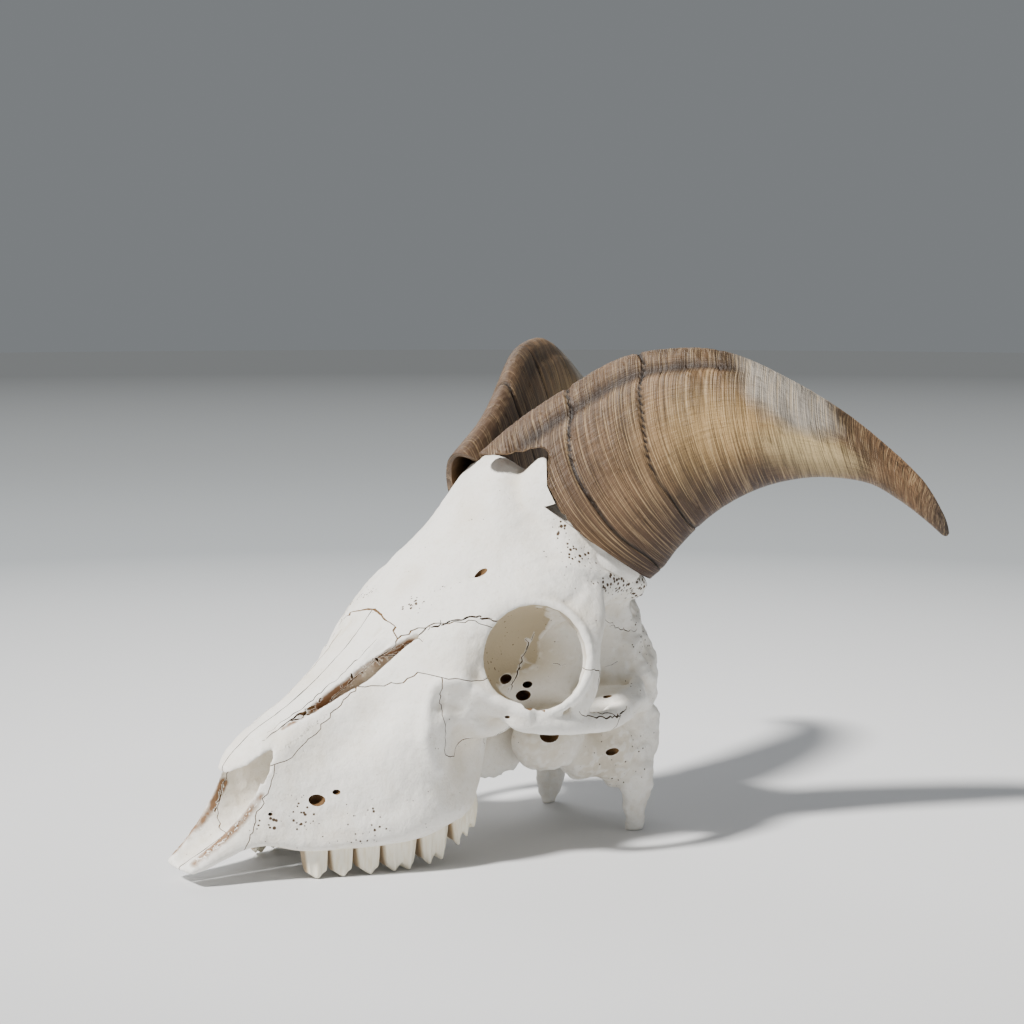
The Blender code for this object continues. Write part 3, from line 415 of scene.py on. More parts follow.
class BoneSettings(bpy.types.PropertyGroup):
    voxel: length("Fineness", "Grain of the fused bone surface", 0.00085, min=0.0004, max=0.003)
    seam_step: length("Seam step", "Mean distance between the teeth of a seam", 0.0017)
    seam_depth: length("Seam depth", "How far the teeth of a seam swing from its line", 0.0006)
    unevenness: length("Unevenness", "Height of the soft waves of the weathered surface", 0.00022)
    white: colour("Bone", "Colour of bleached bone", "F4F1EA")
    # Cream colour of fatty patches, and, darkened, the painted shade in hollows and recesses.
    cream: colour("Recess", "Colour of bone that the sun did not reach", "CDBB98")
    brown: colour("Stain", "Colour of dried remains in holes and cracks", "7C5426")


class ToothSettings(bpy.types.PropertyGroup):
    rib: length("Rib height", "Height of the upright ribs on the cheek side", 0.0008)
    cusp: length("Cusp height", "How far the worn points stand below the valleys between them", 0.0030)
    ivory: colour("Enamel", "Colour of the enamel", "F3EDDB")
    tartar: colour("Tartar", "Colour between the teeth", "9A7A4E")


class HornSettings(bpy.types.PropertyGroup):
    ring_spacing: length("Ring spacing", "Mean distance between growth rings", 0.0019)
    ring_height: length("Ring height", "Height of the growth rings", 0.00028)
    crack_depth: length("Crack depth", "Depth of the deepest ring crack", 0.0012)
    keel_height: length("Keel ridges", "Height of the fibrous ridges along the keel", 0.0009)
    seed: bpy.props.IntProperty(name="Seed", description="Changes the course of the rings", default=7)
    wall: length("Wall", "Thickness of the sheath at its open rim", 0.0026)
    brown: colour("Horn", "Main colour of the sheath", "84674B")
    dark: colour("Dark horn", "Colour of the rings and lower edge", "40301F")
    gold: colour("Gold", "Colour of the worn middle of the side", "BC9A68")
    pale: colour("Pale horn", "Colour of the worn patch before the tip", "A39C92")


class StageSettings(bpy.types.PropertyGroup):
    floor: colour("Floor", "Colour of the floor", "D9DADC")
    backdrop: colour("Backdrop", "Colour of the surroundings", "8D9194")
    distance: length("Distance", "From the camera to the middle of the skull", 1.0)
    azimuth: angle("Azimuth", "Turn of the camera about the upright axis", -35.0)
    elevation: angle("Elevation", "Height of the camera as an angle", 6.5)
    lens: bpy.props.FloatProperty(
        name="Lens", description="Focal length for a sensor 36 mm wide", default=87.9,
        subtype="DISTANCE_CAMERA",
    )


def between(a, b, c, d, u):
    """The point at share u from b to c on a Catmull-Rom curve."""
    return 0.5 * (2 * b + (c - a) * u + (2 * a - 5 * b + 4 * c - d) * u**2 + (3 * b - a - 3 * c + d) * u**3)


def smooth_path(values, count):
    """count rows spread evenly along a curve through the given rows."""
    rows = np.array(values, float)
    padded = np.vstack([2 * rows[0] - rows[1], rows, 2 * rows[-1] - rows[-2]])
    spans = len(rows) - 1
    out = []
    for t in np.linspace(0, spans, count):
        k = min(int(t), spans - 1)
        out.append(between(*padded[k : k + 4], t - k))
    return np.array(out)


def add_object(name, bm):
    """A new object in the scene from a bmesh, which is freed."""
    bmesh.ops.recalc_face_normals(bm, faces=bm.faces)
    mesh = bpy.data.meshes.new(name)
    bm.to_mesh(mesh)
    bm.free()
    obj = bpy.data.objects.new(name, mesh)
    bpy.context.scene.collection.objects.link(obj)
    return obj


def skin_rings(name, rings):
    """A closed mesh through rings of equally many points, its two ends closed by fans."""
    bm = bmesh.new()
    loops = [[bm.verts.new(Vector(p) * MM) for p in ring] for ring in rings]
    sides = len(loops[0])
    for first, second in zip(loops, loops[1:]):
        for i in range(sides):
            j = (i + 1) % sides
            bm.faces.new((first[i], first[j], second[j], second[i]))
    for loop, ring in ((loops[0], rings[0]), (loops[-1], rings[-1])):
        middle = bm.verts.new(Vector(np.mean(ring, axis=0)) * MM)
        for i in range(sides):
            bm.faces.new((loop[i], loop[(i + 1) % sides], middle))
    return add_object(name, bm)


def power(value, exponent):
    """A power that keeps the sign."""
    return math.copysign(abs(value) ** exponent, value)


def closed_curve(points, per_span):
    """Points along a closed curve."""
    rows = np.array(points, float)
    out = []
    for k in range(len(rows)):
        around = [rows[(k + step) % len(rows)] for step in (-1, 0, 1, 2)]
        out += [between(*around, u) for u in np.arange(per_span) / per_span]
    return np.array(out)


def profile_loft(name, stations, rings=48, per_span=3):
    """A loft along X through half sections, each mirrored to a whole one."""
    rows = np.array([[x] + [value for point in half for value in point] for x, half in stations], float)
    made = []
    for row in smooth_path(rows, rings):
        half = row[1:].reshape(-1, 2)
        half[0, 0] = half[-1, 0] = 0.0
        other = half[-2:0:-1] * (-1.0, 1.0)
        curve = closed_curve(np.vstack([half, other]), per_span)
        made.append([(row[0], y, z) for y, z in curve])
    return skin_rings(name, made)


def section_loft(name, stations, square=2.6, sides=28, rings=40):
    """A loft along X. Each station is x, top, bottom, half width at the top and at the bottom."""
    made = []
    for x, top, bottom, half_top, half_bottom in smooth_path(stations, rings):
        ring = []
        for i in range(sides):
            angle = 2 * math.pi * i / sides
            rise = 0.5 + 0.5 * power(math.sin(angle), 2 / square)
            half = half_bottom + (half_top - half_bottom) * rise
            ring.append((x, half * power(math.cos(angle), 2 / square), bottom + (top - bottom) * rise))
        made.append(ring)
    return skin_rings(name, made)


def horn_shape(name, side, start, end, inset, sides=32, rings=30, close=0.0, front=0.0):
    """The sheath's outline between two shares of its length, moved in by inset, and by front at the keel."""
    rows = smooth_path([[*keel, *rear, thick] for keel, rear, thick in HORN], 201)
    made = []
    for share in np.linspace(start, end, rings):
        place = min(200, int(round(share * 200)))
        row = rows[place] if place >= 0 else rows[0] + (rows[1] - rows[0]) * place
        keel, rear, thick = row[:3], row[3:6], row[6]
        chord = np.linalg.norm(rear - keel)
        across = (rear - keel) / chord
        flat = np.cross(np.array(HORN_AXIS), across)
        flat /= np.linalg.norm(flat)
        narrow = 1.0 - close * ((share - start) / (end - start)) ** 2.5
        half = max(0.3, ((chord - front) / 2 - inset) * narrow)
        middle = (keel + rear + across * front) / 2
        ring = []
        for i in range(sides):
            angle = 2 * math.pi * i / sides
            bulge = math.sin(angle) * (1.0 - KEEL_SHARPNESS * math.cos(angle))
            part = OUTER_SHARE if bulge > 0 else 1.0 - OUTER_SHARE
            depth = max(0.3, (thick * part - inset) * narrow)
            point = middle - across * half * math.cos(angle) + flat * depth * bulge
            ring.append(mirrored(point, side))
        made.append(ring)
    return skin_rings(name, made)


def strap(name, stations, wide, square=2.2, sides=14, rings=24, round_ends=True):
    """A bent bar through points with half width and half thickness; wide is the width's direction."""
    rows = smooth_path(stations, rings)
    centres = rows[:, :3]
    along = np.gradient(centres, axis=0)
    along /= np.linalg.norm(along, axis=1)[:, None]
    made = []
    last = len(rows) - 1
    for k, (centre, forward) in enumerate(zip(centres, along)):
        across = np.array(wide, float)
        across -= forward * (across @ forward)
        across /= np.linalg.norm(across)
        flat = np.cross(forward, across)
        shrink = 0.55 if round_ends and k in (0, last) else 1.0
        ring = []
        for i in range(sides):
            angle = 2 * math.pi * i / sides
            ring.append(
                centre
                + across * rows[k, 3] * shrink * power(math.cos(angle), 2 / square)
                + flat * rows[k, 4] * shrink * power(math.sin(angle), 2 / square)
            )
        made.append(ring)
    return skin_rings(name, made)


def mirrored(point, side):
    """A point or direction of the right side, turned over for the left one."""
    return (point[0], point[1] * side, point[2])


def ball(name, centre, radii, axis=None, segments=24):
    """An ellipsoid with its radii along X, Y and Z, or its third radius along axis."""
    bpy.ops.mesh.primitive_uv_sphere_add(segments=segments, ring_count=segments // 2, radius=1.0)
    obj = bpy.context.object
    obj.name = name
    turn = Vector(axis).to_track_quat("Z", "Y").to_matrix().to_4x4() if axis else Matrix()
    place = Matrix.Translation(Vector(centre) * MM) @ turn @ Matrix.Diagonal((*(Vector(radii) * MM), 1.0))
    obj.data.transform(place)
    return obj


def ring_tube(name, centre, axis, radius, thickness, sides=36):
    """A round bar bent to a ring about axis."""
    bpy.ops.mesh.primitive_torus_add(
        major_segments=sides, minor_segments=10, major_radius=radius * MM, minor_radius=thickness * MM
    )
    obj = bpy.context.object
    obj.name = name
    turn = Vector(axis).to_track_quat("Z", "Y").to_matrix().to_4x4()
    obj.data.transform(Matrix.Translation(Vector(centre) * MM) @ turn)
    return obj


def applied(obj):
    """The object's evaluated mesh takes the place of its mesh and modifiers."""
    bpy.context.view_layer.update()
    graph = bpy.context.evaluated_depsgraph_get()
    mesh = bpy.data.meshes.new_from_object(obj.evaluated_get(graph))
    obj.modifiers.clear()
    obj.data = mesh
    return obj


def fuse(name, pieces, voxel, smoothing):
    """Overlapping pieces made one skin by a voxel remesh, then smoothed."""
    bm = bmesh.new()
    for piece in pieces:
        bm.from_mesh(piece.data)
        bpy.data.objects.remove(piece)
    obj = add_object(name, bm)
    remesh = obj.modifiers.new("fuse", "REMESH")
    remesh.mode = "VOXEL"
    remesh.voxel_size = voxel
    soften = obj.modifiers.new("soften", "SMOOTH")
    soften.factor = 0.5
    soften.iterations = smoothing
    return applied(obj)


def combine(obj, others, operation):
    """Booleans of obj with each of the others, which are then removed."""
    for other in others:
        step = obj.modifiers.new(operation.lower(), "BOOLEAN")
        step.operation = operation
        step.solver = "MANIFOLD"
        step.object = other
        applied(obj)
        edges = np.empty(len(obj.data.loops), np.int32)
        obj.data.loops.foreach_get("edge_index", edges)
        if not len(edges) or (np.bincount(edges) != 2).any():
            raise RuntimeError(f"{obj.name} is empty or open after {other.name}")
        bpy.data.objects.remove(other)
    return obj


def edge_ends(mesh):
    """The two vertex numbers of each edge, as two rows."""
    ends = np.empty(len(mesh.edges) * 2, np.int32)
    mesh.edges.foreach_get("vertices", ends)
    return ends.reshape(-1, 2).T


def keep_largest(obj):
    """Loose scraps of a cut are dropped, and the largest closed surface stays."""
    first, second = edge_ends(obj.data)
    label = np.arange(len(obj.data.vertices))
    while True:
        low = np.minimum(label[first], label[second])
        spread = label.copy()
        np.minimum.at(spread, label[first], low)
        np.minimum.at(spread, label[second], low)
        spread = spread[spread]
        if (spread == label).all():
            break
        label = spread
    kept = np.bincount(label).argmax()
    if (label == kept).all():
        return obj
    bm = bmesh.new()
    bm.from_mesh(obj.data)
    bm.verts.ensure_lookup_table()
    bmesh.ops.delete(bm, geom=[bm.verts[i] for i in np.nonzero(label != kept)[0]], context="VERTS")
    bm.to_mesh(obj.data)
    bm.free()
    return obj


def both_sides(make):
    return [piece for side in SIDES.values() for piece in make(side)]


def points_of(mesh):
    """Vertex places in millimetres, and vertex normals."""
    places = np.empty(len(mesh.vertices) * 3, np.float32)
    normals = np.empty(len(mesh.vertices) * 3, np.float32)
    mesh.vertices.foreach_get("co", places)
    mesh.vertex_normals.foreach_get("vector", normals)
    return places.reshape(-1, 3).astype(float) / MM, normals.reshape(-1, 3).astype(float)


def move_points(mesh, places):
    mesh.vertices.foreach_set("co", (places * MM).astype(np.float32).ravel())
    mesh.update()


def store(mesh, name, values):
    """A number for each vertex, which the material reads by name."""
    attribute = mesh.attributes.get(name) or mesh.attributes.new(name, "FLOAT", "POINT")
    attribute.data.foreach_set("value", np.ascontiguousarray(values, np.float32))


def line_distance(places, line):
    """Distance from each place to a line through the given points."""
    rows = np.array(line, float)
    best = np.full(len(places), np.inf)
    for start, end in zip(rows, rows[1:]):
        span = end - start
        share = np.clip((places - start) @ span / (span @ span), 0.0, 1.0)
        best = np.minimum(best, np.linalg.norm(places - start - share[:, None] * span, axis=1))
    return best


def fold_over(places):
    """The places with the left half laid over the right one."""
    return places * (1.0, 0.0, 1.0) + np.abs(places) * (0.0, 1.0, 0.0)


def noise_at(places, size, seed, octaves):
    """Soft noise of about the given size in millimetres, from -1 to 1."""
    shift = Vector((seed * 7.3, seed * 3.1, seed * 5.7))
    return np.array([noise.fractal(Vector(p) / size + shift, 1.0, 2.0, octaves) for p in places.tolist()])


def waves(places, rows):
    """Noise added up from rows of size, seed, octaves and height."""
    return sum(height * noise_at(places, size, seed, octaves) for size, seed, octaves, height in rows)


def hollowness(mesh, places, normals, rounds):
    """How far each vertex lies below the smoothed surface, in millimetres: positive in hollows."""
    first, second = edge_ends(mesh)
    count = np.bincount(first, minlength=len(places)) + np.bincount(second, minlength=len(places))
    count = np.maximum(1, count)
    soft = places.copy()
    for _ in range(rounds):
        near = np.empty_like(soft)
        for axis in range(3):
            near[:, axis] = np.bincount(first, soft[second, axis], len(soft)) + np.bincount(
                second, soft[first, axis], len(soft)
            )
        soft = 0.5 * soft + 0.5 * near / count[:, None]
    return ((soft - places) * normals).sum(axis=1)


def spots(places, marks):
    """How strongly each place belongs to the marked spots, from 0 to 1."""
    total = np.zeros(len(places))
    for centre, reach, strength in marks:
        total = np.maximum(total, strength * np.exp(-(((places - centre) ** 2).sum(axis=1)) / reach**2))
    return total


def side_strap(name, side, bar, **more):
    """A strap from the tables, laid on one side."""
    wide, rows = bar
    return strap(name, [(x, side * y, *rest) for x, y, *rest in rows], mirrored(wide, side), **more)


def fissure(side):
    """The open crack between the nasal bone and its neighbours."""
    return [side_strap("fissure", side, FISSURE, sides=10, rings=28)]


def masses_of(side):
    """The swelling under the horn and the rounded masses of one side behind the face."""
    made = [side_strap("horn_foot", side, HORN_FOOT, sides=24, square=2.0)]
    return made + [ball(name, mirrored(centre, side), radii) for name, (centre, radii) in MASSES.items()]


def braincase():
    """The brain case with the crest of the nape and the floor of the skull."""
    crest = strap("nuchal_crest", NAPE_CREST[1], wide=NAPE_CREST[0], rings=32)
    floor = strap("skull_floor", SKULL_FLOOR[1], wide=SKULL_FLOOR[0])
    return [profile_loft("brain", BRAIN_SECTIONS), crest, floor]


def thin_bones(side):
    """The bars, plates and points of one side, which are fused after the big masses are smoothed."""
    centre, axis = mirrored(ORBIT_CENTRE, side), mirrored(ORBIT_AXIS, side)
    made = [
        side_strap("arch", side, ARCH),
        side_strap("bar", side, BAR),
        ring_tube("orbit_rim", centre, axis, ORBIT_RADIUS + 2.0, RIM_THICKNESS),
        side_strap("ear_point", side, EAR_POINT),
    ]
    return made + [ball(name, mirrored(place, side), radii) for name, (place, radii) in THIN_MASSES.items()]


def nasal_roof():
    """The thin front end of the nasal bones, which overhangs the opening of the nose."""
    arcs = []
    for x, top, k in NASAL_TIP:
        half = ((0, top), (6 * k, top - 0.6 * k), (10.8 * k, top - 3.2 * k), (12.4 * k, top - 5.4 * k),
                (10.4 * k, top - 6.2 * k), (5.4 * k, top - 2.4 - 1.2 * k), (0, top - 2.8))
        arcs.append((x, half))
    return profile_loft("nasal_roof", arcs, rings=20)


def sockets(side):
    """The eye socket of one side, as a cutter."""
    radii = (ORBIT_RADIUS + 0.6, ORBIT_RADIUS + 1.0, ORBIT_DEPTH)
    return [ball("orbit", mirrored(ORBIT_CENTRE, side), radii, mirrored(ORBIT_AXIS, side))]


def crack(name, line, depth_way, width, depth, seed):
    """A thin uneven blade along a line, which cuts an open crack."""
    draw = np.random.RandomState(seed)
    rows = smooth_path(line, 26)
    stations = []
    for k, row in enumerate(rows):
        taper = math.sin(math.pi * (k + 0.6) / 26.2) ** 0.6
        swing = draw.uniform(-0.45, 0.45, 3)
        stations.append((*(row + swing), depth, max(0.1, width / 2 * taper * draw.uniform(0.6, 1.4))))
    return strap(name, stations, wide=depth_way, sides=8, rings=78, round_ends=False)


def drill(name, centre, axis, radius, depth):
    """A slightly oval hole with a widened mouth."""
    turn = Vector(axis).normalized()
    stations = []
    for share, wide in ((-1.0, 1.35), (-0.3, 1.2), (0.1, 1.0), (0.6, 0.85), (1.0, 0.6)):
        spot = Vector(centre) - turn * share * depth
        stations.append((*spot, radius * wide, radius * wide * 0.72))
    return strap(name, stations, wide=(1.0, 0.1, 0.0), sides=20, rings=16, square=2.0)


def details(side):
    """The small openings and cracks of one side."""
    made = []
    for k, (centre, axis, radius, depth) in enumerate(FORAMINA):
        made.append(drill(f"foramen_{k}", mirrored(centre, side), mirrored(axis, side), radius, depth))
    for k, (line, way, width, depth) in enumerate(CRACKS):
        path = [mirrored(point, side) for point in line]
        made.append(crack(f"crack_{k}", path, mirrored(way, side), width, depth, 60 + 10 * k + side))
    return made


def whole_skull(look):
    """The whole skull as one fine skin, before it is parted along its seams."""
    masses = [profile_loft("face", FACE_SECTIONS, rings=96, per_span=6)] + braincase() + both_sides(masses_of)
    bone = fuse("bone", masses, 0.001, 16)
    cutters = both_sides(sockets) + both_sides(fissure)
    cutters.append(section_loft("nasal_cavity", NOSE_HOLLOW, square=2.8, sides=24, rings=28))
    cutters.append(section_loft("palate", PALATE_HOLLOW, square=3.0, sides=20, rings=20))
    cutters.append(ball("foramen_magnum", (62.0, 0.0, 47.0), (20.0, 8.6, 8.6), segments=48))
    combine(bone, cutters, "DIFFERENCE")
    smoothing = round(2 * (0.0015 / look.voxel) ** 2)
    bone = fuse("bone", [bone, nasal_roof()] + both_sides(thin_bones), look.voxel, smoothing)
    combine(bone, both_sides(sockets), "DIFFERENCE")
    return weathered(keep_largest(bone), look)


def weathered(bone, look):
    """Raised and sunken lines, soft unevenness and the marks that the material reads."""
    places, normals = points_of(bone.data)
    right = fold_over(places)
    rise = look.unevenness / MM * waves(places, WAVES)
    behind, below, front = RUGGED
    rugged = np.clip((places[:, 0] - behind) / 22.0, 0.0, 1.0)
    rugged += np.clip((below - places[:, 2]) / 14.0, 0.0, 1.0) * (places[:, 0] > front)
    rise += np.minimum(1.0, rugged) * waves(places, RUGGED_WAVES)
    for line, reach, height in RELIEF:
        rise += height * np.exp(-((line_distance(right, line) / reach) ** 2))
    places = places + normals * rise[:, None]
    places[:, 2] = np.maximum(places[:, 2], 0.0)
    move_points(bone.data, places)
    places, normals = points_of(bone.data)
    right = fold_over(places)
    # Painted shade: the material darkens hollows and the SHADED places to a deeper cream.
    shade = np.maximum(hollowness(bone.data, places, normals, 60), 2.4 * spots(right, SHADED))
    store(bone.data, "hollow", shade)
    # Painted highlight: the material paints convex edges, where this is negative, whiter.
    store(bone.data, "fine_hollow", hollowness(bone.data, places, normals, 8))
    stain = spots(right, STAINS)
    for line, reach, strength in STAIN_LINES:
        stain = np.maximum(stain, strength * np.exp(-((line_distance(right, line) / reach) ** 2)))
    store(bone.data, "stain", stain)
    store(bone.data, "pores", spots(right, PORES))
    return bone


def grown(outline, amount):
    """A polygon with each side moved outward."""
    rows = np.array(outline, float)
    area = sum(p[0] * q[1] - q[0] * p[1] for p, q in zip(rows, np.roll(rows, -1, axis=0)))
    sign = 1.0 if area > 0 else -1.0
    out = []
    count = len(rows)
    for i in range(count):
        before = rows[i] - rows[i - 1]
        after = rows[(i + 1) % count] - rows[i]
        n0 = sign * np.array([before[1], -before[0]]) / np.linalg.norm(before)
        n1 = sign * np.array([after[1], -after[0]]) / np.linalg.norm(after)
        out.append(rows[i] + amount * (n0 + n1) / max(0.35, 1.0 + n0 @ n1))
    return out


def prism(name, outline, place, low, high):
    """A polygon drawn out between two levels; place turns its two numbers and the level to a point."""
    bm = bmesh.new()
    loops = [[bm.verts.new(Vector(place(u, v, level)) * MM) for u, v in outline] for level in (low, high)]
    sides = len(outline)
    for i in range(sides):
        j = (i + 1) % sides
        bm.faces.new((loops[0][i], loops[0][j], loops[1][j], loops[1][i]))
    for loop in loops:
        bm.faces.new(loop)
    bmesh.ops.triangulate(bm, faces=bm.faces)
    return add_object(name, bm)


def bone_space(side_view, top_view, side, spare):
    """The space that one bone fills, grown by spare all round."""
    flank = prism("flank", grown(side_view, spare), lambda u, v, w: (u, w, v), -90.0, 90.0)
    plan = prism("plan", grown(top_view, spare), lambda u, v, w: (u, side * v, w), -20.0, 150.0)
    return combine(flank, [plan], "INTERSECT")


def copy_of(obj, name):
    """A second object with its own copy of the mesh."""
    made = bpy.data.objects.new(name, obj.data.copy())
    bpy.context.scene.collection.objects.link(made)
    return made


def ragged(outline, step, depth, seed):
    """An outline whose runs are broken into small uneven teeth, as the seam between two bones is."""
    draw = np.random.RandomState(seed)
    rows = np.array(outline, float)
    out = []
    for start, end in zip(rows, np.roll(rows, -1, axis=0)):
        span = end - start
        size = np.linalg.norm(span)
        count = max(1, int(size / step))
        across = np.array([-span[1], span[0]]) / size
        for k in range(count):
            along, swing = draw.uniform(-0.3, 0.3), draw.uniform(-1.0, 1.0)
            if not k:
                along = swing = 0.0
            out.append(start + span * (k + along) / count + across * (swing * depth))
    return out


def part_bones(bone, look, walls):
    """The skull is divided along its seams; what is left over is the cranium."""
    step, depth = look.seam_step / MM, look.seam_depth / MM
    parts = {}
    for name, (seed, side_view, top_view) in SEAMS.items():
        for word, side in SIDES.items():
            flank = ragged(side_view, step, depth, seed + side)
            plan = [(x, max(0.13, y)) for x, y in ragged(top_view, 2 * step, 0.3, seed + side)]
            piece = copy_of(bone, f"{name}_{word}_bone")
            spaces = [bone_space(flank, plan, side, spare) for spare in (0.0, GAP)]
            for space in spaces:
                space.data.materials.clear()
                space.data.materials.append(walls)
            combine(piece, spaces[:1], "INTERSECT")
            parts[f"{name}_{word}"] = keep_largest(piece)
            combine(bone, spaces[1:], "DIFFERENCE")
    bone.name = "cranium_bone"
    parts["cranium"] = keep_largest(bone)
    return parts


def row_outline(x):
    """How far the tooth row's cheek side stands from the middle at x."""
    xs, ys = zip(*ROW_OUTLINE)
    return float(np.interp(x, xs, ys))


def fine_tooth(index, side, look):
    """One cheek tooth with upright ribs, worn points below and a root that narrows upward."""
    name, start, lobes, thick, low_front, low_back = TEETH[index]
    end = TEETH[index + 1][1] if index + 1 < len(TEETH) else TOOTH_ROW_END
    start, end = start + 0.3, end - 0.3
    size = end - start
    middle = (start + end) / 2
    lean = (row_outline(end) - row_outline(start)) / size
    draw = np.random.RandomState(100 + 10 * index + side)
    rib, cusp = look.rib / MM, look.cusp / MM
    tilt, chip = draw.uniform(-0.5, 0.5), draw.uniform(-0.4, 0.4, 3)
    rings, edges = [], []
    for level in np.concatenate([[0.0, 0.012], np.linspace(0.04, 1.0, 30)]):
        wide = np.interp(level, *TOOTH_WIDTH)
        deep = np.interp(level, *TOOTH_DEPTH)
        ring = []
        for i in range(96):
            angle = 2 * math.pi * i / 96
            u = power(math.cos(angle), 0.55)
            v = power(math.sin(angle), 0.55)
            phase = lobes * (u + 1) / 2
            waist = 0.11 * math.cos(math.pi * phase) ** 8 if 0.02 < (u + 1) / 2 < 0.98 else 0.0
            ribs = rib * (math.cos(2 * math.pi * phase) ** 2 - 0.5) * (1.0 - abs(u) ** 6) * (v > 0)
            x = middle + u * wide * size / 2 + (0.4 * tilt + 1.3 - 0.12 * index) * (0.6 - level)
            half = deep * (1.0 - waist) * thick / 2
            y = row_outline(middle) + lean * (x - middle) - thick / 2 + v * half + ribs
            low = low_front + (low_back - low_front) * (0.5 + 0.5 * u)
            share = phase % 1.0
            peak = abs(share - 0.5) * 2 if lobes > 1 or index > 1 else abs(share - 0.45) * 1.8
            low += cusp * peak**1.1 * (1.0 + 0.6 * chip[int(phase) % 3]) + 0.96 * max(0.0, -v)
            top = TOOTH_TOP + 0.05 * (middle + 100)
            ring.append((x, side * y, low + (top - low) * level))
            edges.append(abs(u) ** 5)
        rings.append(ring)
    tooth = skin_rings(name, rings)
    store(tooth.data, "between", edges + [0.0, 0.0])
    return tooth


def joined(name, pieces):
    """Separate closed bodies gathered in one object, which keeps their attributes."""
    bm = bmesh.new()
    for piece in pieces:
        bm.from_mesh(piece.data)
        bpy.data.objects.remove(piece)
    mesh = bpy.data.meshes.new(name)
    bm.to_mesh(mesh)
    bm.free()
    obj = bpy.data.objects.new(name, mesh)
    bpy.context.scene.collection.objects.link(obj)
    return obj


def fine_horn(name, side, sides=128, rings=430):
    """The outside of a sheath, with its growth lines' course stored for the rings and the material."""
    shape = horn_shape(name, side, 0.0, 1.0, 0.0, sides=sides, rings=rings)
    places, _ = points_of(shape.data)
    grid = places[: sides * rings].reshape(rings, sides, 3)
    steps = np.linalg.norm(np.diff(grid.mean(axis=1), axis=0), axis=1)
    along = np.concatenate([[0.0], np.cumsum(steps)])[:, None] + np.zeros(sides)
    angle = np.zeros((rings, 1)) + 2 * math.pi * np.arange(sides) / sides
    ease = 1.0 - along / along.max()
    groove_turn, groove_half, groove_depth, groove_end = KEEL_GROOVE
    groove = np.exp(-(((angle - groove_turn) / groove_half) ** 2)) + 0.5 * np.exp(
        -(((angle - 2 * math.pi + groove_turn) / groove_half) ** 2)
    )
    groove *= np.clip((groove_end - along) / 14.0, 0.0, 1.0) * np.clip(along / 12.0, 0.0, 1.0)
    last = np.clip((along / along.max() - 0.975) / 0.025, 0.0, 1.0)
    heart = grid.mean(axis=1)[:, None, :]
    out = grid - heart
    size = np.linalg.norm(out, axis=2)
    shrunk = np.sqrt(1.0 - 0.98 * last**2) * (1.0 - groove_depth * groove / np.maximum(size, 3.0))
    grid = heart + out * shrunk[:, :, None]
    ends = [grid[0].mean(axis=0), grid[-1].mean(axis=0)]
    move_points(shape.data, np.vstack([grid.reshape(-1, 3), ends]))
    growth = along - ease * (RING_TILT * np.cos(angle) - RING_SAG * np.sin(angle) ** 2)
    crack = np.zeros_like(growth)
    for k, (spot, width, depth) in enumerate(RING_CRACKS):
        drift = 0.9 * np.sin(3 * angle + 1.7 * k) + 0.5 * np.sin(7 * angle + 2.9 * k)
        crack = np.maximum(crack, depth * np.exp(-(((growth + drift - spot) / width) ** 2)))
    keel = np.maximum(0.0, np.cos(angle)) ** 10 * np.clip(1.3 - along / 95.0, 0.0, 1.0)
    inner = np.cos(angle) + np.zeros_like(along)
    zones = {
        "growth": growth,
        "turn": inner,
        "flank": np.sin(angle) + np.zeros_like(along),
        "crack": crack,
        "keel": keel,
        "base": np.clip((62.0 - growth) / 42.0, 0.0, 1.0) * 0.8,
        "worn": np.exp(-(((along - 106.0) / 20.0) ** 2)) * np.clip(inner * 1.2 + 0.5, 0.0, 1.0),
        "groove": np.clip(groove, 0.0, 1.0),
        "edge": np.clip((-inner - 0.45) / 0.45, 0.0, 1.0) * np.clip((112.0 - along) / 30.0, 0.0, 1.0) * 0.85,
    }
    for label, (place, spread, turn, width, strength) in ZONE_BELLS.items():
        bell = np.exp(-(((along - place) / spread) ** 2))
        zones[label] = bell * np.exp(-(((inner - turn) / width) ** 2)) * strength
    for label, (place, span, strength) in ZONE_SLOPES.items():
        zones[label] = np.clip((along - place) / span, 0.0, 1.0) * strength
    for label, values in zones.items():
        store(shape.data, label, np.concatenate([values.ravel(), [values[0].mean(), values[-1].mean()]]))
    return shape


def set_inputs(tree, node, inputs):
    """Inputs by name or number: one given as a node and its output is linked, any other is set."""
    for key, value in inputs.items() if isinstance(inputs, dict) else enumerate(inputs):
        if isinstance(value, tuple) and isinstance(value[0], bpy.types.Node):
            tree.links.new(value[0].outputs[value[1]], node.inputs[key])
        else:
            node.inputs[key].default_value = value


def add_node(tree, kind, inputs=(), **settings):
    """A new node with its settings and links."""
    made = tree.nodes.new(kind)
    for name, value in settings.items():
        setattr(made, name, value)
    set_inputs(tree, made, inputs)
    return made


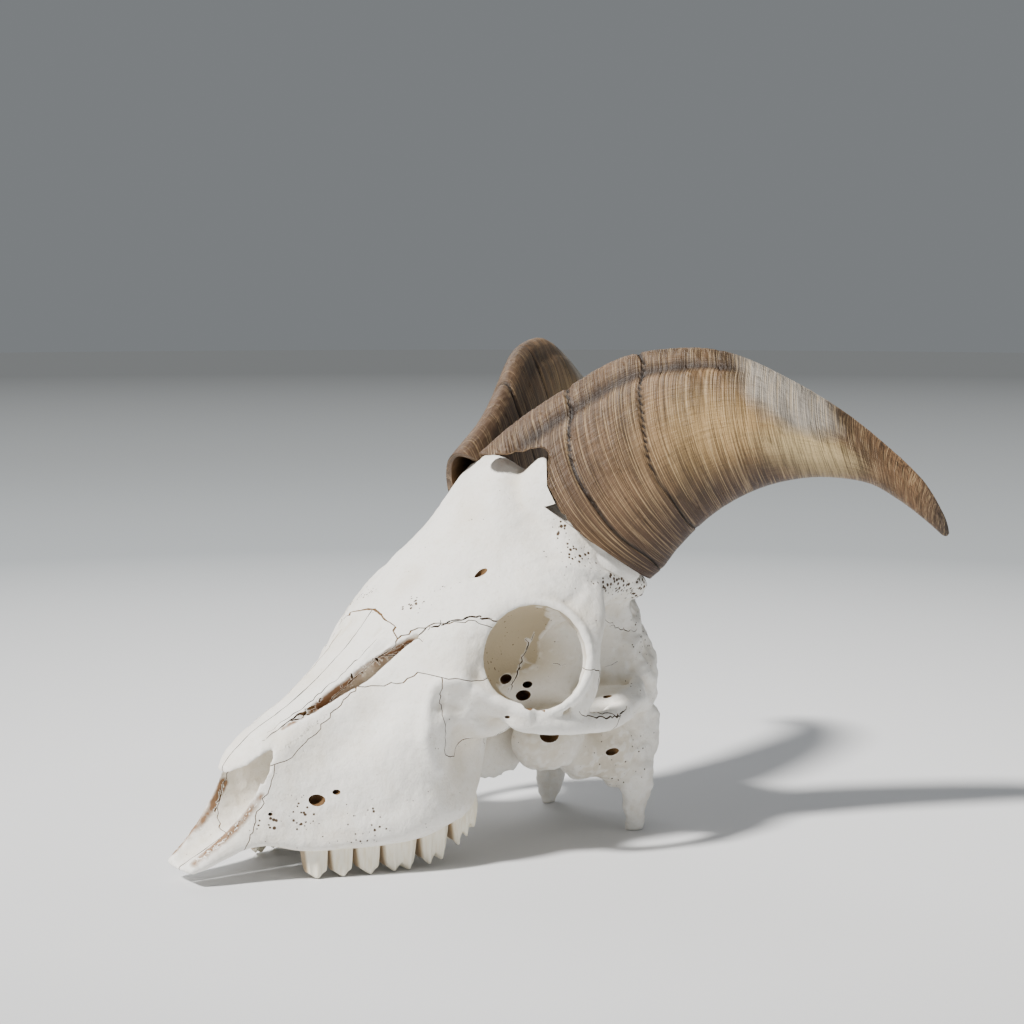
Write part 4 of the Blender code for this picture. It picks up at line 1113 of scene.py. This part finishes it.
def ring_tree():
    """Geometry nodes that raise the growth rings, sink the ring cracks and ridge the keel of a sheath."""
    tree = bpy.data.node_groups.new("growth_rings", "GeometryNodeTree")
    numbers = ("Ring spacing", "Ring height", "Crack depth", "Keel height", "Seed")
    kinds = {"Geometry": "Geometry", **dict.fromkeys(numbers, "Float"), "Finish": "Material"}
    for name, kind in kinds.items():
        tree.interface.new_socket(name, in_out="INPUT", socket_type="NodeSocket" + kind)
    tree.interface.new_socket("Geometry", in_out="OUTPUT", socket_type="NodeSocketGeometry")
    given = add_node(tree, "NodeGroupInput")
    growth, turn, flank, crack, keel = (
        (add_node(tree, "GeometryNodeInputNamedAttribute", {"Name": name}, data_type="FLOAT"), 0)
        for name in ("growth", "turn", "flank", "crack", "keel")
    )
    spacing = add_node(tree, MATHS, [(given, "Ring spacing"), 1000.0], operation="MULTIPLY")
    course = add_node(tree, MATHS, [growth, (spacing, 0)], operation="DIVIDE")
    round_a = add_node(tree, MATHS, [turn, 0.55], operation="MULTIPLY")
    round_b = add_node(tree, MATHS, [flank, 0.55], operation="MULTIPLY")
    slant = add_node(tree, MATHS, [flank, 26.0, growth], operation="MULTIPLY_ADD")
    fibre_path = add_node(tree, MATHS, [(slant, 0), 2.2], operation="DIVIDE")
    rises = []
    for path, detail, roughness, heights in (
        ([(course, 0), (round_a, 0), (round_b, 0)], 3.0, 0.6, [(given, "Ring height")]),
        ([(fibre_path, 0), (round_b, 0)], 4.0, 0.65, [keel, (given, "Keel height")]),
    ):
        values = {"Vector": (add_node(tree, VECTOR, path), 0), "W": (given, "Seed"), "Scale": 1.0}
        values |= {"Detail": detail, "Roughness": roughness}
        texture = add_node(tree, NOISE, values, noise_dimensions="4D")
        rise = add_node(tree, MATHS, [(texture, 0), 2.0, -1.0], operation="MULTIPLY_ADD")
        for height in heights:
            rise = add_node(tree, MATHS, [(rise, 0), height], operation="MULTIPLY")
        rises.append((rise, 0))
    sunk = add_node(tree, MATHS, [crack, (given, "Crack depth")], operation="MULTIPLY")
    total = add_node(tree, MATHS, rises, operation="ADD")
    height = add_node(tree, MATHS, [(total, 0), (sunk, 0)], operation="SUBTRACT")
    normal = add_node(tree, "GeometryNodeInputNormal")
    offset = add_node(tree, "ShaderNodeVectorMath", {0: (normal, 0), "Scale": (height, 0)}, operation="SCALE")
    places = {"Geometry": (given, "Geometry"), "Offset": (offset, 0)}
    moved = add_node(tree, "GeometryNodeSetPosition", places)
    real = add_node(tree, "GeometryNodeRealizeInstances", {"Geometry": (moved, 0)})
    dress = {"Geometry": (real, 0), "Material": (given, "Finish")}
    dressed = add_node(tree, "GeometryNodeSetMaterial", dress)
    add_node(tree, "NodeGroupOutput", [(dressed, 0)])
    return tree


def with_rings(shape, tree, look, finish):
    """The growth rings applied to a sheath."""
    step = shape.modifiers.new("growth_rings", "NODES")
    step.node_group = tree
    values = {
        "Ring spacing": look.ring_spacing,
        "Ring height": look.ring_height,
        "Crack depth": look.crack_depth,
        "Keel height": look.keel_height,
        "Seed": float(look.seed),
        "Finish": finish,
    }
    for item in tree.interface.items_tree:
        if item.in_out == "INPUT" and item.name in values:
            step[item.identifier] = values[item.name]
    return applied(shape)


def horn_hollow(side, wall):
    """The hollow of a sheath, as a cutter."""
    return horn_shape("hollow", side, -0.03, SHEATH_HOLLOW, wall, sides=64, rings=24, close=0.85)


def rim_notch(side, spare, outline=NOTCH):
    """The space under the forward flap of the sheath, where the horn core shows."""
    keel, rear = np.array(HORN[0][0]), np.array(HORN[0][1])
    across = (rear - keel) / np.linalg.norm(rear - keel)
    flat = np.cross(np.array(HORN_AXIS), across)
    flat /= np.linalg.norm(flat)
    rise = np.cross(across, flat)
    place = lambda u, v, w: mirrored(keel + across * u + rise * v + flat * w, side)
    return prism("notch", grown(outline, spare), place, -40.0, 40.0)


def add_cores(bone, look):
    """Under each sheath the bone is cut clear of it, and a core is joined that fills its hollow."""
    for side in SIDES.values():
        room = horn_shape("room", side, 0.0, 0.5, -12.0, sides=48, rings=24, front=38.0)
        slot = horn_shape("slot", side, 0.0, 0.4, -GAP - 0.5, sides=64, rings=32)
        if side == NOTCHED:
            combine(slot, [rim_notch(side, -GAP - 0.2)], "DIFFERENCE")
        inset = look.wall / MM + 1.0
        core = horn_shape(
            "core", side, -0.06, 0.6 * SHEATH_HOLLOW, inset, sides=64, rings=24, close=0.85, front=CORE_FRONT
        )
        combine(bone, [room, slot], "DIFFERENCE")
        combine(bone, [core], "UNION")
    return bone


def new_material(name):
    """A material, its tree, its shader and the place on the object."""
    made = bpy.data.materials.new(name)
    made.use_nodes = True
    tree = made.node_tree
    return made, tree, tree.nodes["Principled BSDF"], (add_node(tree, "ShaderNodeTexCoord"), "Object")


def opaque(rgb):
    return (*rgb, 1.0)


def layered(tree, tone, layers):
    """Colours laid over a tone. A layer is a value, its range with the shares at both ends, and a colour."""
    tone = opaque(tone)
    for value, span, over in layers:
        factor = (add_node(tree, RANGE, [value, *span]), 0) if span else value
        mixed = add_node(tree, "ShaderNodeMix", {0: factor, 6: tone, 7: opaque(over)}, data_type="RGBA")
        tone = (mixed, 2)
    return tone


def bleached_bone(look):
    """Animal bone, bleached by sun: matt and chalky, with open pores, painted shade in its recesses, a
    painted highlight on convex edges, and brown residue.
    """
    made, tree, shader, space = new_material("bone_sun_bleached")
    mark = {
        name: (add_node(tree, ATTRIBUTE, attribute_type="GEOMETRY", attribute_name=name), "Fac")
        for name in ("hollow", "fine_hollow", "stain", "pores")
    }
    cloud = {}
    for name, (scale, detail) in BONE_NOISE.items():
        values = {"Vector": space, "Scale": scale, "Detail": detail, "Roughness": 0.6}
        cloud[name] = (add_node(tree, NOISE, values), 0)
    residue = add_node(tree, MATHS, [mark["stain"], 1.1, cloud["blots"]], operation="MULTIPLY_ADD")
    # Pores: openings of about 0.5 mm, one to each 1.8 mm where the bone is spongy, and few elsewhere.
    cells = add_node(tree, "ShaderNodeTexVoronoi", {"Vector": space, "Scale": 560.0, "Randomness": 1.0})
    where = add_node(tree, MATHS, [mark["pores"], 0.42, cloud["spread"]], operation="MULTIPLY_ADD")
    wide = add_node(tree, RANGE, [(where, 0), 0.56, 0.9, 0.03, 0.42])
    open_pore = add_node(tree, MATHS, [(wide, 0), (cells, "Distance")], operation="SUBTRACT")
    pore = (add_node(tree, RANGE, [(open_pore, 0), 0.0, 0.06, 0.0, 1.0]), 0)
    tone = layered(tree, look.white, (
        # Patches about 22 mm wide where the bone kept more of its fat.
        (cloud["patches"], (0.46, 0.72, 0.0, 0.34), look.cream),
        # Painted shade: hollows and recesses are darkened to a deeper cream.
        (mark["hollow"], (0.05, 1.9, 0.0, 0.9), [c * 0.82 for c in look.cream]),
        # Painted highlight: convex edges are painted whiter.
        (mark["fine_hollow"], (-0.04, -0.16, 0.0, 0.5), linear("F7F5F0")),
        # Dust in the grain, in flecks of about 1.5 mm.
        (cloud["flecks"], (0.56, 0.75, 0.0, 0.28), linear("BFB39C")),
        # Brown residue, broken up in flecks of about 4 mm.
        ((residue, 0), (0.95, 1.5, 0.0, 0.92), look.brown),
        (pore, None, linear("4E3D2C")),
    ))
    relief = add_node(tree, MATHS, [cloud["waves"], 1.6, cloud["grain"]], operation="MULTIPLY_ADD")
    height = add_node(tree, MATHS, [pore, -2.2, (relief, 0)], operation="MULTIPLY_ADD")
    bump = add_node(tree, "ShaderNodeBump", {"Height": (height, 0), "Strength": 0.55, "Distance": 0.0003})
    set_inputs(tree, shader, {"Base Color": tone, "Normal": (bump, 0)})
    set_inputs(tree, shader, {"Roughness": 0.68, "IOR": 1.5, "Specular IOR Level": 0.35})
    return made


def seam_bone():
    """Bone inside a seam or crack: rough and dark brown."""
    made, tree, shader, space = new_material("bone_seam_walls")
    grain = add_node(tree, NOISE, {"Vector": space, "Scale": 500.0, "Detail": 3.0})
    tone = layered(tree, linear("3E2C1C"), [((grain, 0), None, linear("8C6C48"))])
    set_inputs(tree, shader, {"Base Color": tone, "Roughness": 0.85, "Specular IOR Level": 0.2})
    return made


def tooth_enamel(look):
    """Cheek teeth: glossy ivory enamel in upright ribs, with brown tartar between neighbours."""
    made, tree, shader, space = new_material("tooth_enamel")
    squeezed = add_node(tree, "ShaderNodeMapping", {"Vector": space, "Scale": (1.0, 1.0, 0.12)})
    # Upright streaks about 1 mm wide.
    streaks = add_node(tree, NOISE, {"Vector": (squeezed, 0), "Scale": 900.0, "Detail": 3.0})
    between = add_node(tree, ATTRIBUTE, attribute_type="GEOMETRY", attribute_name="between")
    tone = layered(tree, look.ivory, (
        ((streaks, 0), (0.46, 0.74, 0.0, 0.5), linear("D9C69C")),
        ((between, "Fac"), (0.45, 0.95, 0.0, 0.75), look.tartar),
    ))
    bump = add_node(tree, "ShaderNodeBump", {"Height": (streaks, 0), "Strength": 0.5, "Distance": 0.0003})
    set_inputs(tree, shader, {"Base Color": tone, "Roughness": 0.38, "IOR": 1.62, "Normal": (bump, 0)})
    return made


def weathered_horn(look):
    """Horn sheath, grown in rings and weathered: fibrous brown keratin, bleached where it was worn."""
    made, tree, shader, space = new_material("horn_keratin_weathered")
    names = "growth turn flank crack keel base gold worn yellow tip end groove edge".split()
    zone = {
        name: (add_node(tree, ATTRIBUTE, attribute_type="GEOMETRY", attribute_name=name), "Fac")
        for name in names
    }
    mottled = add_node(tree, NOISE, {"Vector": space, "Scale": 70.0, "Detail": 5.0})
    # Growth lines: fine ones each 0.5 mm and broader bands each 5 mm; fibres run along the horn between them.
    lines = {}
    for name, size, swing, detail, roughness in (
        ("fine", 0.5, 0.9, 2.0, 0.65), ("broad", 5.0, 0.7, 4.0, 0.65), ("fibres", 14.0, 22.0, 4.0, 0.7)
    ):
        along = add_node(tree, MATHS, [zone["growth"], size], operation="DIVIDE")
        turn = add_node(tree, MATHS, [zone["turn"], swing], operation="MULTIPLY")
        flank = add_node(tree, MATHS, [zone["flank"], swing], operation="MULTIPLY")
        way = add_node(tree, VECTOR, [(along, 0), (turn, 0), (flank, 0)])
        values = {"Vector": (way, 0), "Scale": 1.0, "Detail": detail, "Roughness": roughness}
        lines[name] = (add_node(tree, NOISE, values), 0)
    fine, broad, fibres = lines.values()
    worn = add_node(tree, MATHS, [zone["worn"], 1.4, (mottled, 0)], operation="MULTIPLY_ADD")
    yellow = add_node(tree, MATHS, [zone["yellow"], 1.3, fibres], operation="MULTIPLY_ADD")
    # The lines fade where the horn is worn and where the keel's own fibres run.
    calm = add_node(tree, MATHS, [zone["worn"], 0.75, zone["keel"]], operation="MULTIPLY_ADD", use_clamp=True)
    share = add_node(tree, RANGE, [(calm, 0), 0.0, 1.0, 1.0, 0.15])
    line = add_node(tree, RANGE, [fine, 0.5, 0.62, 0.0, 0.6])
    dark_line = add_node(tree, MATHS, [(line, 0), (share, 0)], operation="MULTIPLY")
    keel_fibres = add_node(tree, RANGE, [fibres, 0.34, 0.6, 0.75, 0.1])
    keel_dark = add_node(tree, MATHS, [(keel_fibres, 0), zone["keel"]], operation="MULTIPLY")
    tone = layered(tree, look.dark, (
        ((mottled, 0), (0.36, 0.66, 0.0, 1.0), look.brown),
        (zone["base"], None, linear("5E4836")),
        (zone["gold"], None, look.gold),
        (broad, (0.5, 0.7, 0.0, 0.45), look.dark),
        ((yellow, 0), (0.7, 1.4, 0.0, 1.0), linear("CDB484")),
        ((worn, 0), (0.85, 1.45, 0.0, 0.92), look.pale),
        (zone["tip"], None, linear("8C6A4A")),
        (zone["end"], None, linear("423A36")),
        (zone["edge"], None, linear("3A2520")),
        (fibres, (0.52, 0.74, 0.0, 0.4), look.dark),
        ((dark_line, 0), None, look.dark),
        (fine, (0.47, 0.36, 0.0, 0.35), linear("D4B88C")),
        ((keel_dark, 0), None, linear("4A3524")),
        # Painted shade: the groove under the keel is painted near black.
        (zone["groove"], (0.3, 1.0, 0.0, 0.85), linear("20150F")),
        (zone["crack"], (0.15, 0.8, 0.0, 0.92), linear("1D130D")),
    ))
    relief = add_node(tree, MATHS, [fibres, 0.7, fine], operation="MULTIPLY_ADD")
    bump = add_node(tree, "ShaderNodeBump", {"Height": (relief, 0), "Strength": 0.9, "Distance": 0.0006})
    set_inputs(tree, shader, {"Base Color": tone, "Normal": (bump, 0)})
    set_inputs(tree, shader, {"Roughness": 0.5, "IOR": 1.55, "Specular IOR Level": 0.4})
    return made


def studio_floor(look):
    """Matt board, painted darker away from its middle: painted shade where the light falls off."""
    made, tree, shader, space = new_material("floor_matt_board")
    away = (add_node(tree, "ShaderNodeVectorMath", [space], operation="LENGTH"), "Value")
    tone = layered(tree, look.floor, (
        # Painted shade: the floor fades to the backdrop's grey, then darker still, with distance from the
        # middle.
        (away, (0.22, 0.9, 0.0, 1.0), look.backdrop),
        (away, (0.9, 3.2, 0.0, 1.0), [c * 0.34 for c in look.backdrop]),
    ))
    set_inputs(tree, shader, {"Base Color": tone, "Roughness": 0.75, "Specular IOR Level": 0.15})
    return made


def finished(obj, slot, *nodes):
    """The piece moves to its place in the frame, rides on the skull and stands for its solids."""
    obj.data.transform(Matrix.Translation((SHIFT_X * MM, 0.0, 0.0)))
    obj.data.polygons.foreach_set("use_smooth", [True] * len(obj.data.polygons))
    obj.data.set_sharp_from_angle(angle=math.radians(50.0))
    obj.data.update()
    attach(obj, "root")
    if nodes:
        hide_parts(*nodes)
    return obj


class SKULL_OT_bones(bpy.types.Operator):
    """Model the bones, parted along their seams"""

    bl_idname = "skull.bones"
    bl_label = "Bones"

    def execute(self, context):
        look = context.scene.skull_bone
        surface, walls = bleached_bone(look), seam_bone()
        bone = add_cores(whole_skull(look), context.scene.skull_horn)
        bone = keep_largest(bone)
        bone.data.materials.clear()
        bone.data.materials.append(surface)
        bone.data.materials.append(walls)
        cutters = both_sides(details)
        for cutter in cutters:
            cutter.data.materials.append(walls)
        combine(bone, cutters, "DIFFERENCE")
        for name, piece in part_bones(bone, look, walls).items():
            finished(piece, "bone", name)
        return {"FINISHED"}


class SKULL_OT_teeth(bpy.types.Operator):
    """Model the cheek teeth of both rows"""

    bl_idname = "skull.teeth"
    bl_label = "Teeth"

    def execute(self, context):
        look = context.scene.skull_tooth
        enamel = tooth_enamel(look)
        for word, side in SIDES.items():
            row = joined("teeth_" + word, [fine_tooth(i, side, look) for i in range(len(TEETH))])
            row.data.materials.append(enamel)
            finished(row, "bone", "maxilla_" + word)
        return {"FINISHED"}


class SKULL_OT_horns(bpy.types.Operator):
    """Model the two horn sheaths with their growth rings"""

    bl_idname = "skull.horns"
    bl_label = "Horn sheaths"

    def execute(self, context):
        look = context.scene.skull_horn
        keratin = weathered_horn(look)
        tree = ring_tree()
        for word, side in SIDES.items():
            sheath = with_rings(fine_horn("sheath_" + word, side), tree, look, keratin)
            sheath.name = "sheath_" + word
            cutters = [horn_hollow(side, look.wall / MM)]
            if side == NOTCHED:
                cutters.append(rim_notch(side, 0.0, ragged(NOTCH, 1.6, 0.5, 5)))
            for cutter in cutters:
                cutter.data.materials.append(keratin)
            combine(sheath, cutters, "DIFFERENCE")
            finished(keep_largest(sheath), "horn", "horn_" + word)
        return {"FINISHED"}


def aimed(name, data, spot, back):
    """An object of the stage at a spot, with its back turned to the given direction."""
    made = bpy.data.objects.new(name, data)
    made.matrix_world = Matrix.Translation(spot) @ back.to_track_quat("Z", "Y").to_matrix().to_4x4()
    bpy.context.scene.collection.objects.link(made)
    return made


class SKULL_OT_stage(bpy.types.Operator):
    """Lay the floor and set the lights and the camera"""

    bl_idname = "skull.stage"
    bl_label = "Stage"

    def execute(self, context):
        look = context.scene.skull_stage
        bpy.ops.mesh.primitive_circle_add(
            vertices=96, radius=FLOOR_RADIUS, fill_type="NGON", location=(0.0, 0.0, -FLOOR_DROP)
        )
        floor = context.object
        floor.name = "floor"
        floor.data.materials.append(studio_floor(look))
        middle = Vector((SHIFT_X * MM, 0.0, LOOK_HEIGHT))
        turn, rise = look.azimuth, look.elevation
        back = Vector((math.sin(turn) * math.cos(rise), -math.cos(turn) * math.cos(rise), math.sin(rise)))
        right = Vector((math.cos(turn), math.sin(turn), 0.0))
        lens = bpy.data.cameras.new("camera")
        lens.lens = look.lens
        lens.sensor_width = 36.0
        context.scene.camera = aimed("camera", lens, middle + back * look.distance, back)
        for name, kind, place, wide, strength, tone in LIGHTS:
            light = bpy.data.lights.new(name, kind)
            if kind == "SUN":
                light.angle = math.radians(wide)
            else:
                light.shape = "DISK"
                light.size = wide
            light.energy = strength
            light.color = linear(tone)
            spot = middle + right * place[0] + back * place[1] + Vector((0.0, 0.0, place[2]))
            aimed(name, light, spot, spot - middle)
        world = bpy.data.worlds.new("studio")
        world.use_nodes = True
        context.scene.world = world
        ground = world.node_tree.nodes["Background"]
        ground.inputs["Color"].default_value = opaque(look.backdrop)
        ground.inputs["Strength"].default_value = SURROUNDINGS
        return {"FINISHED"}


class SKULL_PT_parts(bpy.types.Panel):
    """The pieces of the skull"""

    bl_idname = "SKULL_PT_parts"
    bl_label = "Goat skull"
    bl_space_type = "VIEW_3D"
    bl_region_type = "UI"
    bl_category = "Skull"

    def draw(self, context):
        for operator, settings in PARTS:
            box = self.layout.box()
            box.operator(operator)
            group = getattr(context.scene, settings)
            for name in group.__annotations__:
                box.prop(group, name)


PARTS = (
    ("skull.bones", "skull_bone"),
    ("skull.teeth", "skull_tooth"),
    ("skull.horns", "skull_horn"),
    ("skull.stage", "skull_stage"),
)
GROUPS = {
    "skull_bone": BoneSettings,
    "skull_tooth": ToothSettings,
    "skull_horn": HornSettings,
    "skull_stage": StageSettings,
}
CLASSES = (SKULL_OT_bones, SKULL_OT_teeth, SKULL_OT_horns, SKULL_OT_stage, SKULL_PT_parts)


def register():
    for name, group in GROUPS.items():
        bpy.utils.register_class(group)
        setattr(bpy.types.Scene, name, bpy.props.PointerProperty(type=group))
    for made in CLASSES:
        bpy.utils.register_class(made)


def unregister():
    for made in reversed(CLASSES):
        bpy.utils.unregister_class(made)
    for name, group in GROUPS.items():
        delattr(bpy.types.Scene, name)
        bpy.utils.unregister_class(group)


def main():
    register()
    bpy.ops.skull.bones()
    bpy.ops.skull.teeth()
    bpy.ops.skull.horns()
    bpy.ops.skull.stage()


if __name__ == "__main__":
    main()
